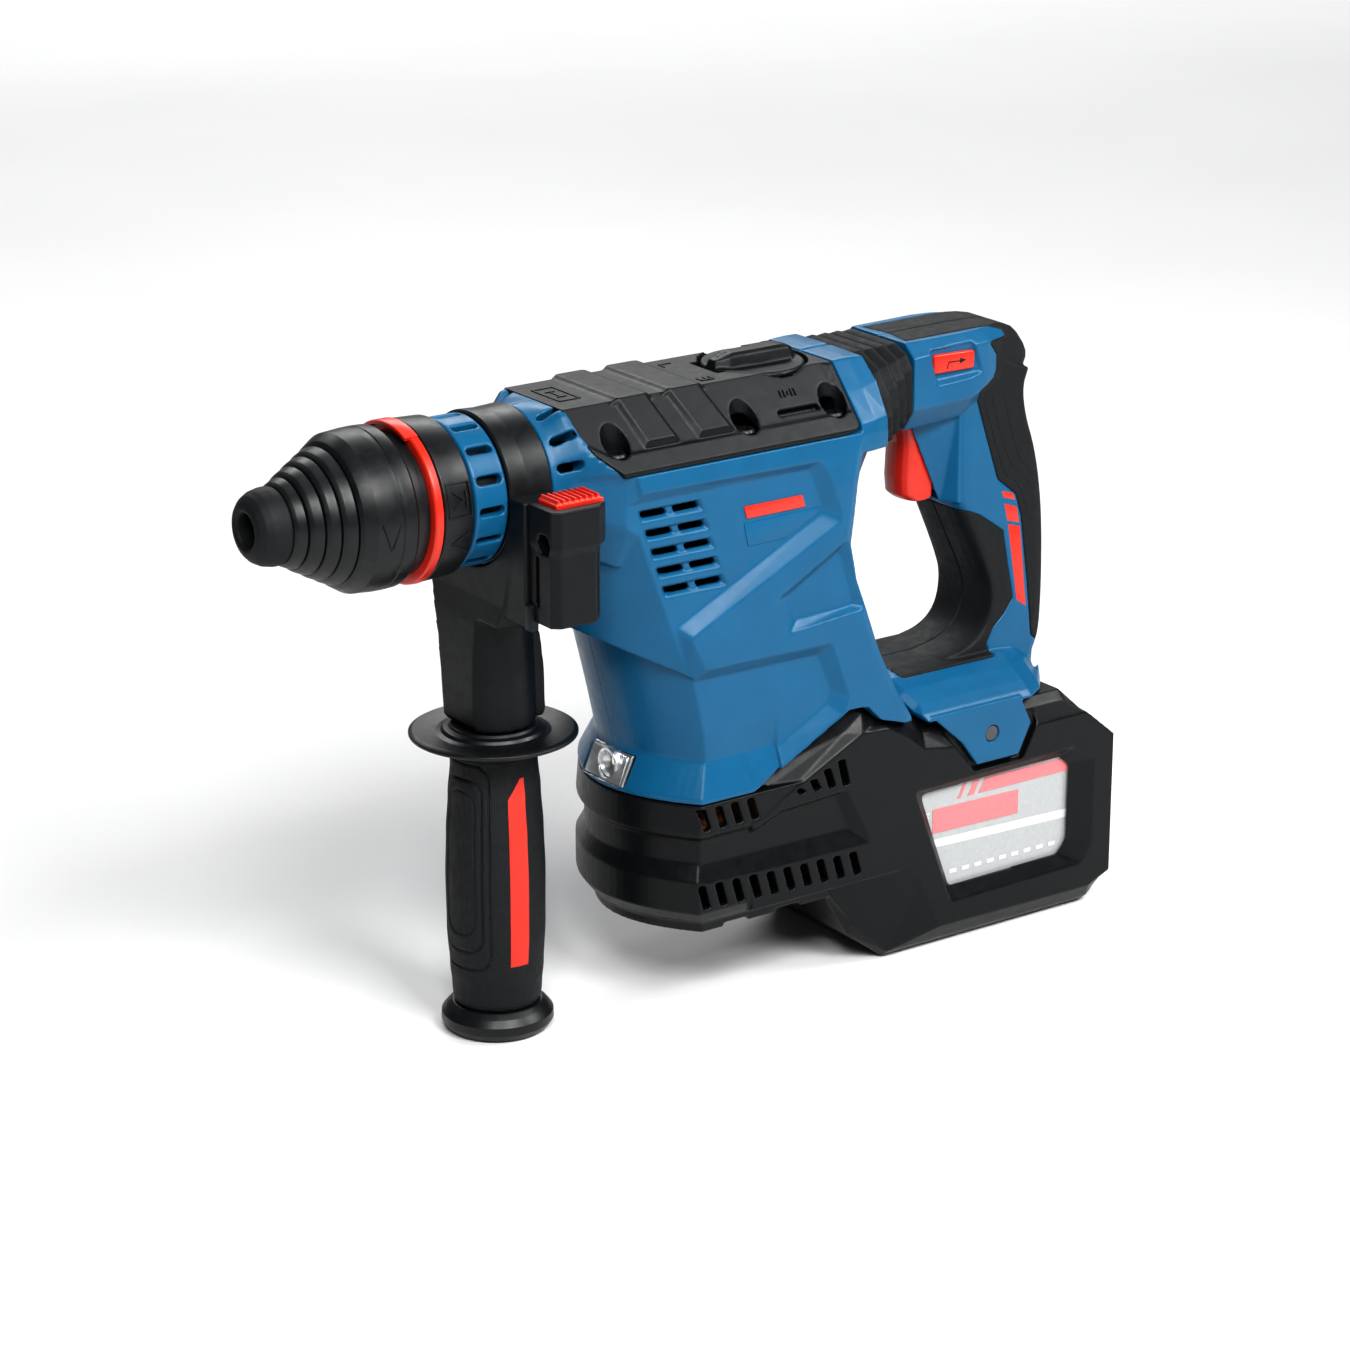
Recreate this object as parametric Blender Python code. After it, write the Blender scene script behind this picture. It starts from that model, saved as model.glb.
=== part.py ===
"""Cordless rotary hammer with a D-handle, a swivelling side handle and a guarded battery.

Lengths in this file are millimetres, converted once by metres(). X is measured back from
the nose of the chuck, Y across the tool, Z up from the spindle axis. metres() moves them
to the part's own frame: origin at the middle of the battery guard's flat underside.
"""

import math

import bmesh
import bpy
from mathutils import Matrix, Vector

# ---------------------------------------------------------------- driving dimensions (mm)
MM = 0.001
ORIGIN_BACK = 300.0        # nose to origin
STAND_HEIGHT = 207.0       # spindle axis above the surface the tool stands on
GAP = 0.3                  # clearance between touching pieces
SEAM = 0.15                # half the gap between left and right shells

OVERALL_LENGTH = 361.8
HALF_WIDTH = 40.0
WALL = 2.6

SLEEVE_RADIUS = 28.8
BIT_BORE = 5.15            # for a 10 mm bit shank
TUBE_RADIUS = 16.0
TUBE_BORE = 13.0
NECK_RADIUS = 27.0
BAND_FRONT, BAND_REAR = 90.1, 107.9

GRIP_AXIS_X = 99.1         # side handle
FLANGE_RADIUS = 30.8
CAP_RADIUS = 20.7

MODULE = 1.25
PINION_TEETH, CRANK_TEETH, DRIVE_TEETH = 9, 38, 24
MOTOR_X = 179.0
CRANK_X = MOTOR_X + MODULE * (PINION_TEETH + CRANK_TEETH) / 2
DRIVE_X = MOTOR_X - MODULE * (PINION_TEETH + DRIVE_TEETH) / 2
CRANK_THROW = 8.0
BEVEL_RING = 24.0
GEAR_LOW, GEAR_HIGH = -60.0, -52.0

COVER_EDGE = 5.3
KNOB_X = 214.0
BELLOWS_FRONT, BELLOWS_REAR = 249.3, 267.3
ARM_FRONT = 272.3
PIVOT_X, PIVOT_Z = 300.0, -124.0
PAD_HALF = 12.5            # half-width of the soft pads on the handle

BAY_FLOOR, BAY_ROOF = -202.0, -140.6
BATTERY_FRONT, BATTERY_REAR = 258.0, 350.0
BATTERY_HALF = 35.4

ROUND = 24                 # facets round a turned piece


# ---------------------------------------------------------------- shells: (points, faces)
def metres(point):
    x, y, z = point
    return ((x - ORIGIN_BACK) * MM, y * MM, (z + STAND_HEIGHT) * MM)


def loft(rings, closed=False):
    """Skin rings of equal length. Open lofts are capped, closed ones join end to start."""
    count = len(rings[0])
    points = [point for ring in rings for point in ring]
    faces = []
    spans = len(rings) if closed else len(rings) - 1
    for i in range(spans):
        a, b = i * count, (i + 1) % len(rings) * count
        faces += [(a + j, a + (j + 1) % count, b + (j + 1) % count, b + j) for j in range(count)]
    if not closed:
        faces.append(tuple(range(count)))
        faces.append(tuple(range(len(points) - count, len(points))))
    return points, faces


def on_axis(axis, along, u, v):
    """A point at `along` on the named axis, with u, v on the other two in X, Y, Z order."""
    return {"X": (along, u, v), "Y": (u, along, v), "Z": (u, v, along)}[axis]


def prism(axis, low, high, outline):
    return loft([[on_axis(axis, a, u, v) for u, v in outline] for a in (low, high)])


def box(x0, x1, y0, y1, z0, z1):
    return prism("Z", z0, z1, [(x0, y0), (x1, y0), (x1, y1), (x0, y1)])


def circle(cu, cv, radius, count=ROUND, start=0.0):
    turn = 2 * math.pi / count
    return [(cu + radius * math.cos(start + i * turn), cv + radius * math.sin(start + i * turn))
            for i in range(count)]


def rod(axis, low, high, cu, cv, radius, count=ROUND, start=0.0):
    return prism(axis, low, high, circle(cu, cv, radius, count, start))


def turned(axis, cu, cv, profile, count=ROUND):
    """Closed profile of (along, radius) turned into a ring-shaped solid."""
    return loft([[on_axis(axis, a, u, v) for u, v in circle(cu, cv, r, count)]
                 for a, r in profile], closed=True)


def stacked(axis, cu, cv, profile, count=ROUND):
    """Open profile of (along, radius) turned into a solid with flat ends."""
    return loft([[on_axis(axis, a, u, v) for u, v in circle(cu, cv, r, count)]
                 for a, r in profile])


def mirrored(shell):
    points, faces = shell
    return [(x, -y, z) for x, y, z in points], faces


# ---------------------------------------------------------------- objects and materials
def finish(name, colour, roughness, metallic=0.0):
    material = bpy.data.materials.get(name)
    if material is None:
        material = bpy.data.materials.new(name)
        material.use_nodes = True
        shader = material.node_tree.nodes["Principled BSDF"]
        shader.inputs["Base Color"].default_value = (*colour, 1.0)
        shader.inputs["Roughness"].default_value = roughness
        shader.inputs["Metallic"].default_value = metallic
    return material


def blue():
    return finish("blue_plastic", (0.025, 0.145, 0.36), 0.42)


def black():
    return finish("black_plastic", (0.018, 0.020, 0.022), 0.5)


def rubber():
    return finish("soft_rubber", (0.012, 0.013, 0.014), 0.75)


def red():
    return finish("red_plastic", (0.74, 0.035, 0.012), 0.38)


def steel():
    return finish("steel", (0.56, 0.57, 0.58), 0.3, 1.0)


def dark_steel():
    return finish("dark_steel", (0.16, 0.16, 0.17), 0.4, 0.9)


def copper():
    return finish("copper_winding", (0.62, 0.27, 0.12), 0.35, 1.0)


def alloy():
    return finish("cast_alloy", (0.46, 0.47, 0.48), 0.5, 0.9)


def clear():
    return finish("clear_lens", (0.86, 0.88, 0.9), 0.15)


def board_green():
    return finish("board_green", (0.03, 0.16, 0.07), 0.5)


def is_flat(face):
    corners = [vert.co for vert in face.verts]
    normal = (corners[1] - corners[0]).cross(corners[2] - corners[0])
    return normal.length > 0 and abs(normal.normalized().dot(corners[3] - corners[0])) < 1e-7


def scratch_object(shells):
    """One mesh object holding the given shells, each with its faces turned outwards."""
    mesh = bpy.data.meshes.new("shape")
    points, faces = [], []
    for shell_points, shell_faces in shells:
        base = len(points)
        points += [metres(point) for point in shell_points]
        faces += [tuple(base + i for i in face) for face in shell_faces]
    mesh.from_pydata(points, [], faces)
    edit = bmesh.new()
    edit.from_mesh(mesh)
    bmesh.ops.recalc_face_normals(edit, faces=edit.faces)
    bent = [face for face in edit.faces if len(face.verts) == 4 and not is_flat(face)]
    bmesh.ops.triangulate(edit, faces=bent)
    edit.to_mesh(mesh)
    edit.free()
    item = bpy.data.objects.new("shape", mesh)
    bpy.context.scene.collection.objects.link(item)
    return item


def combine(item, shells, operation):
    for shell in shells:
        tool = scratch_object([shell])
        modifier = item.modifiers.new("combine", "BOOLEAN")
        modifier.operation = operation
        modifier.solver = "EXACT"
        modifier.object = tool
        depsgraph = bpy.context.evaluated_depsgraph_get()
        mesh = bpy.data.meshes.new_from_object(item.evaluated_get(depsgraph))
        item.modifiers.clear()
        item.data = mesh
        bpy.data.objects.remove(tool)


def piece(name, material, *shells, add=(), cut=()):
    """A named node: shells side by side, then unions, then cuts."""
    item = scratch_object(shells)
    combine(item, add, "UNION")
    combine(item, cut, "DIFFERENCE")
    item.name = name
    item.data.name = name
    item.data.materials.clear()
    item.data.materials.append(material)
    item.data.shade_smooth()
    item.data.set_sharp_from_angle(angle=math.radians(32))
    return item


def body(name, pivot, pieces, parent=None):
    """An empty on the joint's axis that carries the pieces which move together."""
    empty = bpy.data.objects.new(name + "_pivot", None)
    empty.empty_display_size = 0.01
    bpy.context.scene.collection.objects.link(empty)
    place = Vector(metres(pivot))
    empty["place"] = list(place)
    empty.location = place
    if parent is not None:
        empty.parent = parent
        empty.location = place - Vector(parent["place"])
    for item in pieces:
        item.parent = empty
        item.matrix_parent_inverse = Matrix.Translation(-place)
    return empty


# ---------------------------------------------------------------- outlines
def gear_outline(cx, teeth, phase):
    """Low trapezoid teeth with backlash, seen along Z."""
    step = 2 * math.pi / teeth
    tip = MODULE * (teeth / 2 + 0.8)
    root = MODULE * (teeth / 2 - 1.1)
    corners = [(root, -0.21), (tip, -0.10), (tip, 0.10), (root, 0.21)]
    outline = []
    for tooth in range(teeth):
        for radius, offset in corners:
            angle = phase + (tooth + offset) * step
            outline.append((cx + radius * math.cos(angle), radius * math.sin(angle)))
    return outline


def octagon(x, half_width, top, bottom, shoulder):
    """Eight-sided tunnel section across the tool, corners cut by `shoulder`."""
    side = half_width - shoulder
    return [(x, -side, top), (x, side, top), (x, half_width, top - shoulder * 0.8),
            (x, half_width, bottom + shoulder * 0.6), (x, side, bottom), (x, -side, bottom),
            (x, -half_width, bottom + shoulder * 0.6), (x, -half_width, top - shoulder * 0.8)]


def bowed_front(z, mid, corner, half_width, inset=0.0, side=1):
    """Curved front of a horizontal section, from the mid-plane out to the side plane."""
    reach = half_width - inset
    steps = [0.0, 0.25, 0.5, 0.75, 1.0]
    return [(mid + inset + (corner - mid) * s * s, side * max(reach * s, SEAM), z) for s in steps]


# ---------------------------------------------------------------- chuck and spindle
def build_spindle():
    slots = [box(29.5, 38.5, -3.0, 3.0, min(side * 4, side * 14), max(side * 4, side * 14))
             for side in (1, -1)]
    holder = piece("tool_holder", steel(), turned("X", 0, 0, [
        (12, 12.5), (64, 12.5), (64, 15), (79.7, 15), (79.7, 8), (60, 8), (60, BIT_BORE),
        (12, BIT_BORE)]), cut=slots)
    tube = piece("hammer_tube", steel(), turned("X", 0, 0, [
        (80, TUBE_RADIUS), (190, TUBE_RADIUS), (190, TUBE_BORE), (98, TUBE_BORE), (98, 8), (80, 8)]))
    rollers = [piece("locking_roller_" + name, dark_steel(), rod("X", 30.0, 38.0, 0.0, z, 2.6, 10))
               for name, z in (("upper", 9.4), ("lower", -9.4))]
    chuck = piece("chuck_body", dark_steel(), turned("X", 0, 0, [
        (40, 12.8), (40, 19.5), (54, 19.5), (54, 24), (57.5, 24), (57.5, 12.8)]))
    spring = piece("sleeve_spring", steel(), coil(42.5, 52.5, 21.8, 0.8, 4))
    cap = piece("dust_cap", rubber(), turned("X", 0, 0, [
        (0, 8.0), (2, 11.2), (5.5, 13.2), (11.6, 13.7), (11.6, 6.0), (0, 5.8)]))
    apex = DRIVE_X
    ring_gear = piece("bevel_ring_gear", dark_steel(), turned("X", 0, 0, [
        (apex - 20, 20.5), (apex - 10.0, BEVEL_RING), (apex - 7.5, 18.0),
        (apex - 7.5, TUBE_RADIUS + GAP), (apex - 20, TUBE_RADIUS + GAP)], 32))
    spindle = body("spindle", (0, 0, 0), [holder, tube, chuck, spring, cap, ring_gear] + rollers)

    steps = [(11.9, 14.8), (16.4, 17.6), (21.4, 20.4), (26.2, 23.0), (31.5, 25.6), (35.8, 28.4)]
    sleeve = piece("locking_sleeve", black(), turned("X", 0, 0, steps + [
        (49.1, SLEEVE_RADIUS), (54.6, 28.2), (54.6, 26.0), (36, 25.8), (15, 13.3), (11.9, 13.1)], 32))
    body("sleeve", (30, 0, 0), [sleeve], spindle)
    ring = piece("change_ring", black(), turned("X", 0, 0, [
        (62.4, 28.9), (75, 28.4), (75, 20), (62.4, 20)], 32))
    stripe = piece("red_line_ring", red(), turned("X", 0, 0, [
        (58.8, 29), (62.1, 29.2), (62.1, 24.5), (58.8, 24.5)], 32))
    body("ring", (66, 0, 0), [ring, stripe], spindle)
    striker = piece("striker", steel(), stacked("X", 0, 0, [
        (106, 6.5), (116, 7), (116, 12.6), (140, 12.6)]))
    body("striker", (128, 0, 0), [striker], spindle)
    beat = piece("beat_piece", dark_steel(), stacked("X", 0, 0, [(66, 4.6), (70, 7.6), (96, 7.6)]))
    body("beat", (80, 0, 0), [beat], spindle)


def coil(low, high, radius, wire, turns, per_turn=12, sides=6):
    """Open helical spring along X."""
    rings = []
    total = turns * per_turn
    for i in range(total + 1):
        angle = 2 * math.pi * i / per_turn
        along = low + (high - low) * i / total
        ring = []
        for j in range(sides):
            tilt = 2 * math.pi * j / sides
            reach = radius + wire * math.cos(tilt)
            ring.append((along + wire * math.sin(tilt), reach * math.cos(angle),
                         reach * math.sin(angle)))
        rings.append(ring)
    return loft(rings)


def build_drive():
    """Motor shaft, crank gear, bevel drive shaft, piston and connecting rod."""
    rotor = piece("rotor", dark_steel(), rod("Z", -166, -46, MOTOR_X, 0, 3.9, 16), add=[
        rod("Z", -150, -104, MOTOR_X, 0, 16.4),
        prism("Z", -63, -49, gear_outline(MOTOR_X, PINION_TEETH, 0))])
    blades = []
    for i in range(11):
        angle = 2 * math.pi * i / 11
        blades.append((MOTOR_X + 26 * math.cos(angle), 26 * math.sin(angle)))
        blades.append((MOTOR_X + 17 * math.cos(angle + 0.05), 17 * math.sin(angle + 0.05)))
    fan = piece("cooling_fan", black(), prism("Z", -100, -93, blades),
                cut=[rod("Z", -101, -92, MOTOR_X, 0, 4.2, 16)])
    body("rotor", (MOTOR_X, 0, -100), [rotor, fan])

    crank = piece("crank_gear", dark_steel(), rod("Z", -72, -12, CRANK_X, 0, 6.0), add=[
        prism("Z", GEAR_LOW, GEAR_HIGH, gear_outline(CRANK_X, CRANK_TEETH, math.pi / CRANK_TEETH)),
        rod("Z", -20.3, -9, CRANK_X, 0, 13.5),
        rod("Z", -12, -4.6, CRANK_X - CRANK_THROW, 0, 3.9, 16)])
    body("crank", (CRANK_X, 0, -50), [crank])
    drive = piece("bevel_drive_shaft", dark_steel(), rod("Z", -72, -27, DRIVE_X, 0, 5.0), add=[
        prism("Z", GEAR_LOW, GEAR_HIGH, gear_outline(DRIVE_X, DRIVE_TEETH, 0)),
        stacked("Z", DRIVE_X, 0, [(-30, 5.6), (-24.5, 9.7), (-18.6, 7.2)])])
    body("drive", (DRIVE_X, 0, -50), [drive])

    pin_x = CRANK_X - CRANK_THROW - 35.5
    piston = piece("piston", alloy(), turned("X", 0, 0, [
        (pin_x - 16, 12.6), (pin_x + 12, 12.6), (pin_x + 12, 9.6), (pin_x - 9, 9.6),
        (pin_x - 9, 3.0), (pin_x - 16, 3.0)]), add=[rod("Z", -10.5, 10.5, pin_x, 0, 3.0, 16)])
    slide = body("piston", (pin_x, 0, 0), [piston])
    eye_x = CRANK_X - CRANK_THROW
    conrod = piece("connecting_rod", alloy(), box(pin_x + 2, eye_x - 3, -3, 3, -4, 4), add=[
        rod("Z", -4, 4, pin_x, 0, 6.0, 20), rod("Z", -4, 4, eye_x, 0, 7.2, 20)], cut=[
        rod("Z", -5, 5, pin_x, 0, 3.4, 20), rod("Z", -5, 5, eye_x, 0, 4.3, 20)])
    body("conrod", (pin_x, 0, 0), [conrod], slide)


# ---------------------------------------------------------------- housing
HOUSING_STATIONS = [       # z, front at mid-plane, front at corner, half-width, rear
    (5.0, 118.0, 134.0, 38.0, 249.0),
    (-8.0, 118.2, 135.5, 39.4, 246.0),
    (-25.0, 120.5, 140.5, 40.0, 236.5),
    (-42.0, 126.5, 146.0, 40.0, 233.0),
    (-54.0, 131.0, 150.5, 40.0, 238.0),
    (-60.0, 139.5, 153.0, 40.0, 241.0),
    (-75.0, 144.0, 158.0, 40.0, 247.0),
    (-92.0, 148.0, 162.5, 40.0, 253.0),
    (-113.0, 149.0, 162.0, 40.0, 267.0),
    (-123.2, 146.0, 160.0, 40.0, 267.0),
]


def housing_half():
    """Right half of the body: a C-shaped wall lofted downwards, open above and below."""
    rings = []
    for z, mid, corner, half_width, rear in HOUSING_STATIONS:
        outer = bowed_front(z, mid, corner, half_width)
        outer += [(rear - 7, half_width, z), (rear, half_width - 7, z), (rear, SEAM, z)]
        inner = bowed_front(z, mid, corner, half_width, WALL)
        inner += [(rear - 8, half_width - WALL, z), (rear - WALL, half_width - 8, z),
                  (rear - WALL, SEAM, z)]
        rings.append(outer + inner[::-1])
    return loft(rings)


def collar_half():
    """Half of the frame round the handle arm at the top of the housing's rear."""
    outline = [(SEAM, 29), (20, 29), (28, 23), (34, 16), (36.5, 8), (36.5, 3), (19.5, 3),
               (19.5, 24.5), (SEAM, 24.5)]
    return prism("X", 243.4, 249.0, outline)


SEAM_LINE = [(186, -123.5), (193.7, -119.7), (230.4, -100), (238.9, -100.5), (245.7, -107),
             (256.7, -110.5), (266.3, -112.3)]


def shifted(outline, dx, dz):
    return [(x + dx, z + dz) for x, z in outline]


def build_housing():
    under_seam = prism("Y", -60, 60, shifted(SEAM_LINE, 0, GAP) + [(290, -112), (290, -140), (186, -140)])
    cuts = [
        rod("X", 100, 152, 0, 0, 25.4, 32),
        box(236, 260, -19.5, 19.5, -2, 6),
        box(140, 153, -12.3, 12.3, -121.5, -109.5),
        under_seam,
    ]
    for name, half in (("housing_left", 1), ("housing_right", -1)):
        wall, collar = housing_half(), collar_half()
        if half < 0:
            wall, collar = mirrored(wall), mirrored(collar)
        piece(name, blue(), wall, add=[collar], cut=cuts)
    piece("front_housing", blue(), turned("X", 0, 0, [
        (76.3, NECK_RADIUS), (BAND_FRONT - GAP, NECK_RADIUS), (BAND_FRONT - GAP, 24.6),
        (BAND_REAR + GAP, 24.6), (BAND_REAR + GAP, 27.2), (113, 27.8), (117.7, 28.2),
        (117.7, 21.3), (76.3, 21.3)], 32))

    cover_sections = []
    for x, top in ((118.2, 27.6), (128, 28), (236, 28), (243.1, 26.5)):
        outer = [(38, COVER_EDGE), (38, 8), (20, top), (-20, top), (-38, 8), (-38, COVER_EDGE)]
        inner = [(-35.4, COVER_EDGE), (-35.4, 7), (-18.8, top - WALL), (18.8, top - WALL),
                 (35.4, 7), (35.4, COVER_EDGE)]
        cover_sections.append([(x, y, z) for y, z in outer + inner])
    screw_spots = [(x, y) for x in (131, 189, 229) for y in (-29, 29)]
    piece("gear_cover", black(), loft(cover_sections), add=[
        rib for x in (139, 162) for rib in [loft([
            [(x - 2, y, 27), (x + 15, y, 27), (x + 13, y, 29.0), (x, y, 29.0)]
            for y in (-19, 19)])]], cut=[
        rod("Z", 10, 40, x, y, 4.0, 12) for x, y in screw_spots] + [
        rod("Z", 10, 40, KNOB_X, 0, 8.0)])

    knob = piece("mode_knob", black(), stacked("Z", KNOB_X, 0, [
        (22, 7.6), (28.4, 7.6), (28.4, 19.0), (30.2, 18.6)]), add=[
        loft([[(KNOB_X - 17, -4, z), (KNOB_X + 16, -4, z), (KNOB_X + 16, 4, z), (KNOB_X - 17, 4, z)]
              for z in (29, 33)])])
    cam = piece("selector_cam", alloy(), stacked("Z", KNOB_X, 0, [(15, 9.5), (21.7, 9.5)]), add=[
        rod("Z", 11, 16, KNOB_X + 6, 0, 2.4, 10)])
    body("knob", (KNOB_X, 0, 28), [knob, cam])

    piece("lamp_lens", clear(), box(147.0, 148.8, -11.9, 11.9, -121.1, -109.9))
    piece("lamp_reflector", alloy(), box(149.2, 152.5, -11.9, 11.9, -121.1, -109.9),
          cut=[rod("X", 148, 151.5, 0, -115.5, 4.5, 16)])
    piece("handle_damper", rubber(), box(234, 241.4, -10, 10, 7, 21))
    rings = []
    for i in range(7):     # ridges and valleys by turns
        along = i / 6
        x = BELLOWS_FRONT + (BELLOWS_REAR - BELLOWS_FRONT) * along
        pinch = 2.2 * (i % 2)
        rings.append(octagon(x, 33 - 9 * along - pinch, 28 - pinch, -4 + 2.4 * along + pinch, 9))
    inner = [octagon(BELLOWS_REAR, 21.5, 25.2, -0.5, 7), octagon(BELLOWS_FRONT, 21.5, 25.2, -1.5, 7)]
    piece("bellows", rubber(), loft(rings + inner, closed=True))


def build_gearbox():
    piece("spindle_bearing", steel(), turned("X", 0, 0, [
        (84, 21), (98, 21), (98, TUBE_RADIUS + GAP), (84, TUBE_RADIUS + GAP)]))
    piece("spindle_seal", rubber(), turned("X", 0, 0, [
        (80.5, 21), (83.5, 21), (83.5, TUBE_RADIUS + GAP), (80.5, TUBE_RADIUS + GAP)]))
    plate = [(150, -14), (161, -33), (225, -33), (236, -20), (236, 20), (225, 33), (161, 33), (150, 14)]
    piece("gearbox_frame", alloy(), prism("Z", -74, -66, plate), cut=[
        rod("Z", -80, -60, MOTOR_X, 0, 5.0, 16), rod("Z", -80, -60, DRIVE_X, 0, 5.3),
        rod("Z", -80, -60, CRANK_X, 0, 6.3)])
    piece("stator", copper(), turned("Z", MOTOR_X, 0, [
        (-152, 25), (-102, 25), (-102, 17), (-152, 17)]))
    for name, z in (("lower", -165), ("upper", -83)):
        piece("motor_bearing_" + name, steel(), turned("Z", MOTOR_X, 0, [
            (z, 10), (z + 6, 10), (z + 6, 4.2), (z, 4.2)], 16))
    piece("controller_board", board_green(), box(212, 214, -30, 30, -165, -122), add=[
        box(213.5, 220, y - 5, y + 5, -160, -135) for y in (-20, -6, 8, 22)])


GUARD_FULL = SEAM_LINE + [(268, -115), (338, -115), (OVERALL_LENGTH, -136.6), (OVERALL_LENGTH, -198),
                          (353, -207), (253, -207), (236, -194), (222.7, -172), (186, -172)]
GUARD_SIDE = [(186, -123.5), (193.7, -119.7), (230.4, -101.5), (238.9, -102), (245.7, -108.5),
              (256.7, -112), (266.3, -114), (268, -117), (336, -123), (OVERALL_LENGTH, -141),
              (OVERALL_LENGTH, -192), (351, -198), (262, -198), (243, -187), (227, -168), (186, -164)]
WINDOW = [(267, -142), (334, -142), (336, -180), (279, -180)]
SKIRT = [(271, -113), (313, -113), (319, -123), (313.5, -135), (293, -135), (285.5, -125)]
SKIRT_RECESS = [(266, -108), (320, -108), (322, -123), (315.5, -137), (291.5, -137), (282.5, -127)]
BASE_STATIONS = [          # z, front at mid-plane, front at corner, half-width
    (-123.7, 145.5, 160.0, 39.4),
    (-126.0, 145.0, 159.3, 39.8),
    (-163.6, 145.0, 159.3, 39.8),
    (-171.7, 152.0, 166.0, 33.0),
]


def base_front(inset, rear, low_trim):
    rings = []
    for z, mid, corner, half_width in BASE_STATIONS:
        front = bowed_front(z, mid, corner, half_width, inset)
        other = bowed_front(z, mid, corner, half_width, inset, -1)
        rear_y = half_width - inset
        level = z + (low_trim if z < -150 else 0)
        ring = front + [(rear, rear_y, z), (rear, -rear_y, z)] + other[::-1][:-1]
        rings.append([(x, y if abs(y) > SEAM else 0.0, level) for x, y, _ in ring])
    return loft(rings)


def build_base():
    half = HALF_WIDTH
    sides = [(-half, GUARD_SIDE), (-33.0, GUARD_FULL), (33.0, GUARD_FULL), (half, GUARD_SIDE)]
    hull = loft([[(x, y, z) for x, z in outline] for y, outline in sides])
    motor_bay = base_front(3.0, 228.0, 3.0)
    motor_top = box(160, 227, -35.5, 35.5, -150, -90)
    shaft_hole = rod("Y", -50, 50, PIVOT_X, PIVOT_Z, 3.3, 16)
    recesses = [prism("Y", lo, hi, SKIRT_RECESS) for lo, hi in ((36.9, 45), (-45, -36.9))]
    piece("base_guard", black(), hull, add=[base_front(0.0, 200.0, 0.0)], cut=[
        motor_bay, motor_top,
        prism("X", 246, 370, [(-36.6, BAY_ROOF), (36.6, BAY_ROOF), (36.6, BAY_FLOOR + 7),
                              (30.5, BAY_FLOOR), (-30.5, BAY_FLOOR), (-36.6, BAY_FLOOR + 7)]),
        box(246, 314, -25, 25, BAY_ROOF - 1, -130),
        prism("Y", -60, 60, WINDOW), shaft_hole] + recesses)
    piece("pivot_shaft", dark_steel(), rod("Y", -39, 39, PIVOT_X, PIVOT_Z, 3.0, 16))
    piece("battery_rail", black(), box(250, 312, -24.5, 24.5, -140.3, -130.4))


def battery_plan(z, inset):
    """Horizontal section of the battery with its corners cut off."""
    x0, x1 = BATTERY_FRONT + inset, BATTERY_REAR - inset
    half = BATTERY_HALF - inset
    corner = 5.0
    return [(x0, corner - half, z), (x0 + corner, -half, z), (x1 - corner, -half, z),
            (x1, corner - half, z), (x1, half - corner, z), (x1 - corner, half, z),
            (x0 + corner, half, z), (x0, half - corner, z)]


def build_battery():
    front, rear = BATTERY_FRONT, BATTERY_REAR
    lower = piece("battery_case_lower", black(), loft([
        battery_plan(-201.5, 6.5), battery_plan(-195, 0), battery_plan(-172, 0)]), cut=[loft([
            battery_plan(-199, 8.5), battery_plan(-193.5, 2.2), battery_plan(-165, 2.2)])])
    upper = piece("battery_case_upper", black(), loft([
        battery_plan(-171.7, 0), battery_plan(-141, 0)]), cut=[
        loft([battery_plan(-180, 2.2), battery_plan(-143.5, 2.2)]),
        box(344, 352, -16.5, 16.5, -165.5, -149.5)])
    cells = piece("battery_cells", steel(), box(front + 10, rear - 20, -3, 3, -183, -159), add=[
        rod("Y", -31, 31, front + 13 + i * 16.3, z, 8.0, 12)
        for i in range(5) for z in (-161, -181) if not (i == 4 and z == -161)])
    pack = body("battery", (304, 0, -171), [lower, upper, cells])
    button = piece("battery_button", red(), box(346.5, 352.5, -16, 16, -165, -150))
    body("battery_button", (349, 0, -157), [button], pack)


# ---------------------------------------------------------------- rear handle
REAR_LINE = [(272.3, 28.6), (301, 29.2), (319, 29), (329, 26), (334, 20), (334.5, 10), (331.5, 3),
             (333.5, -8), (339.5, -20), (344, -53), (345.5, -86)]
SHELL_REAR_LINE = [(272.3, 25.4), (301, 26.0), (317.5, 25.8), (326, 23.2), (330.8, 18.6),
                   (331.3, 10), (328.3, 3), (330.3, -8), (336.3, -20), (340.8, -53), (342.3, -86)]
FRONT_LINE = [(301, -42), (304.5, -52), (309, -61), (316.5, -76), (317.5, -85), (314.5, -93),
              (305, -98.2), (290, -95.5), (262, -92.6)]
SHELL_FRONT_LINE = [(304, -42), (307.5, -52), (312, -62), (319.6, -77), (320.6, -86), (316.8, -95.6),
                    (305.5, -99.3), (290, -99.3), (262, -99.3)]


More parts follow.
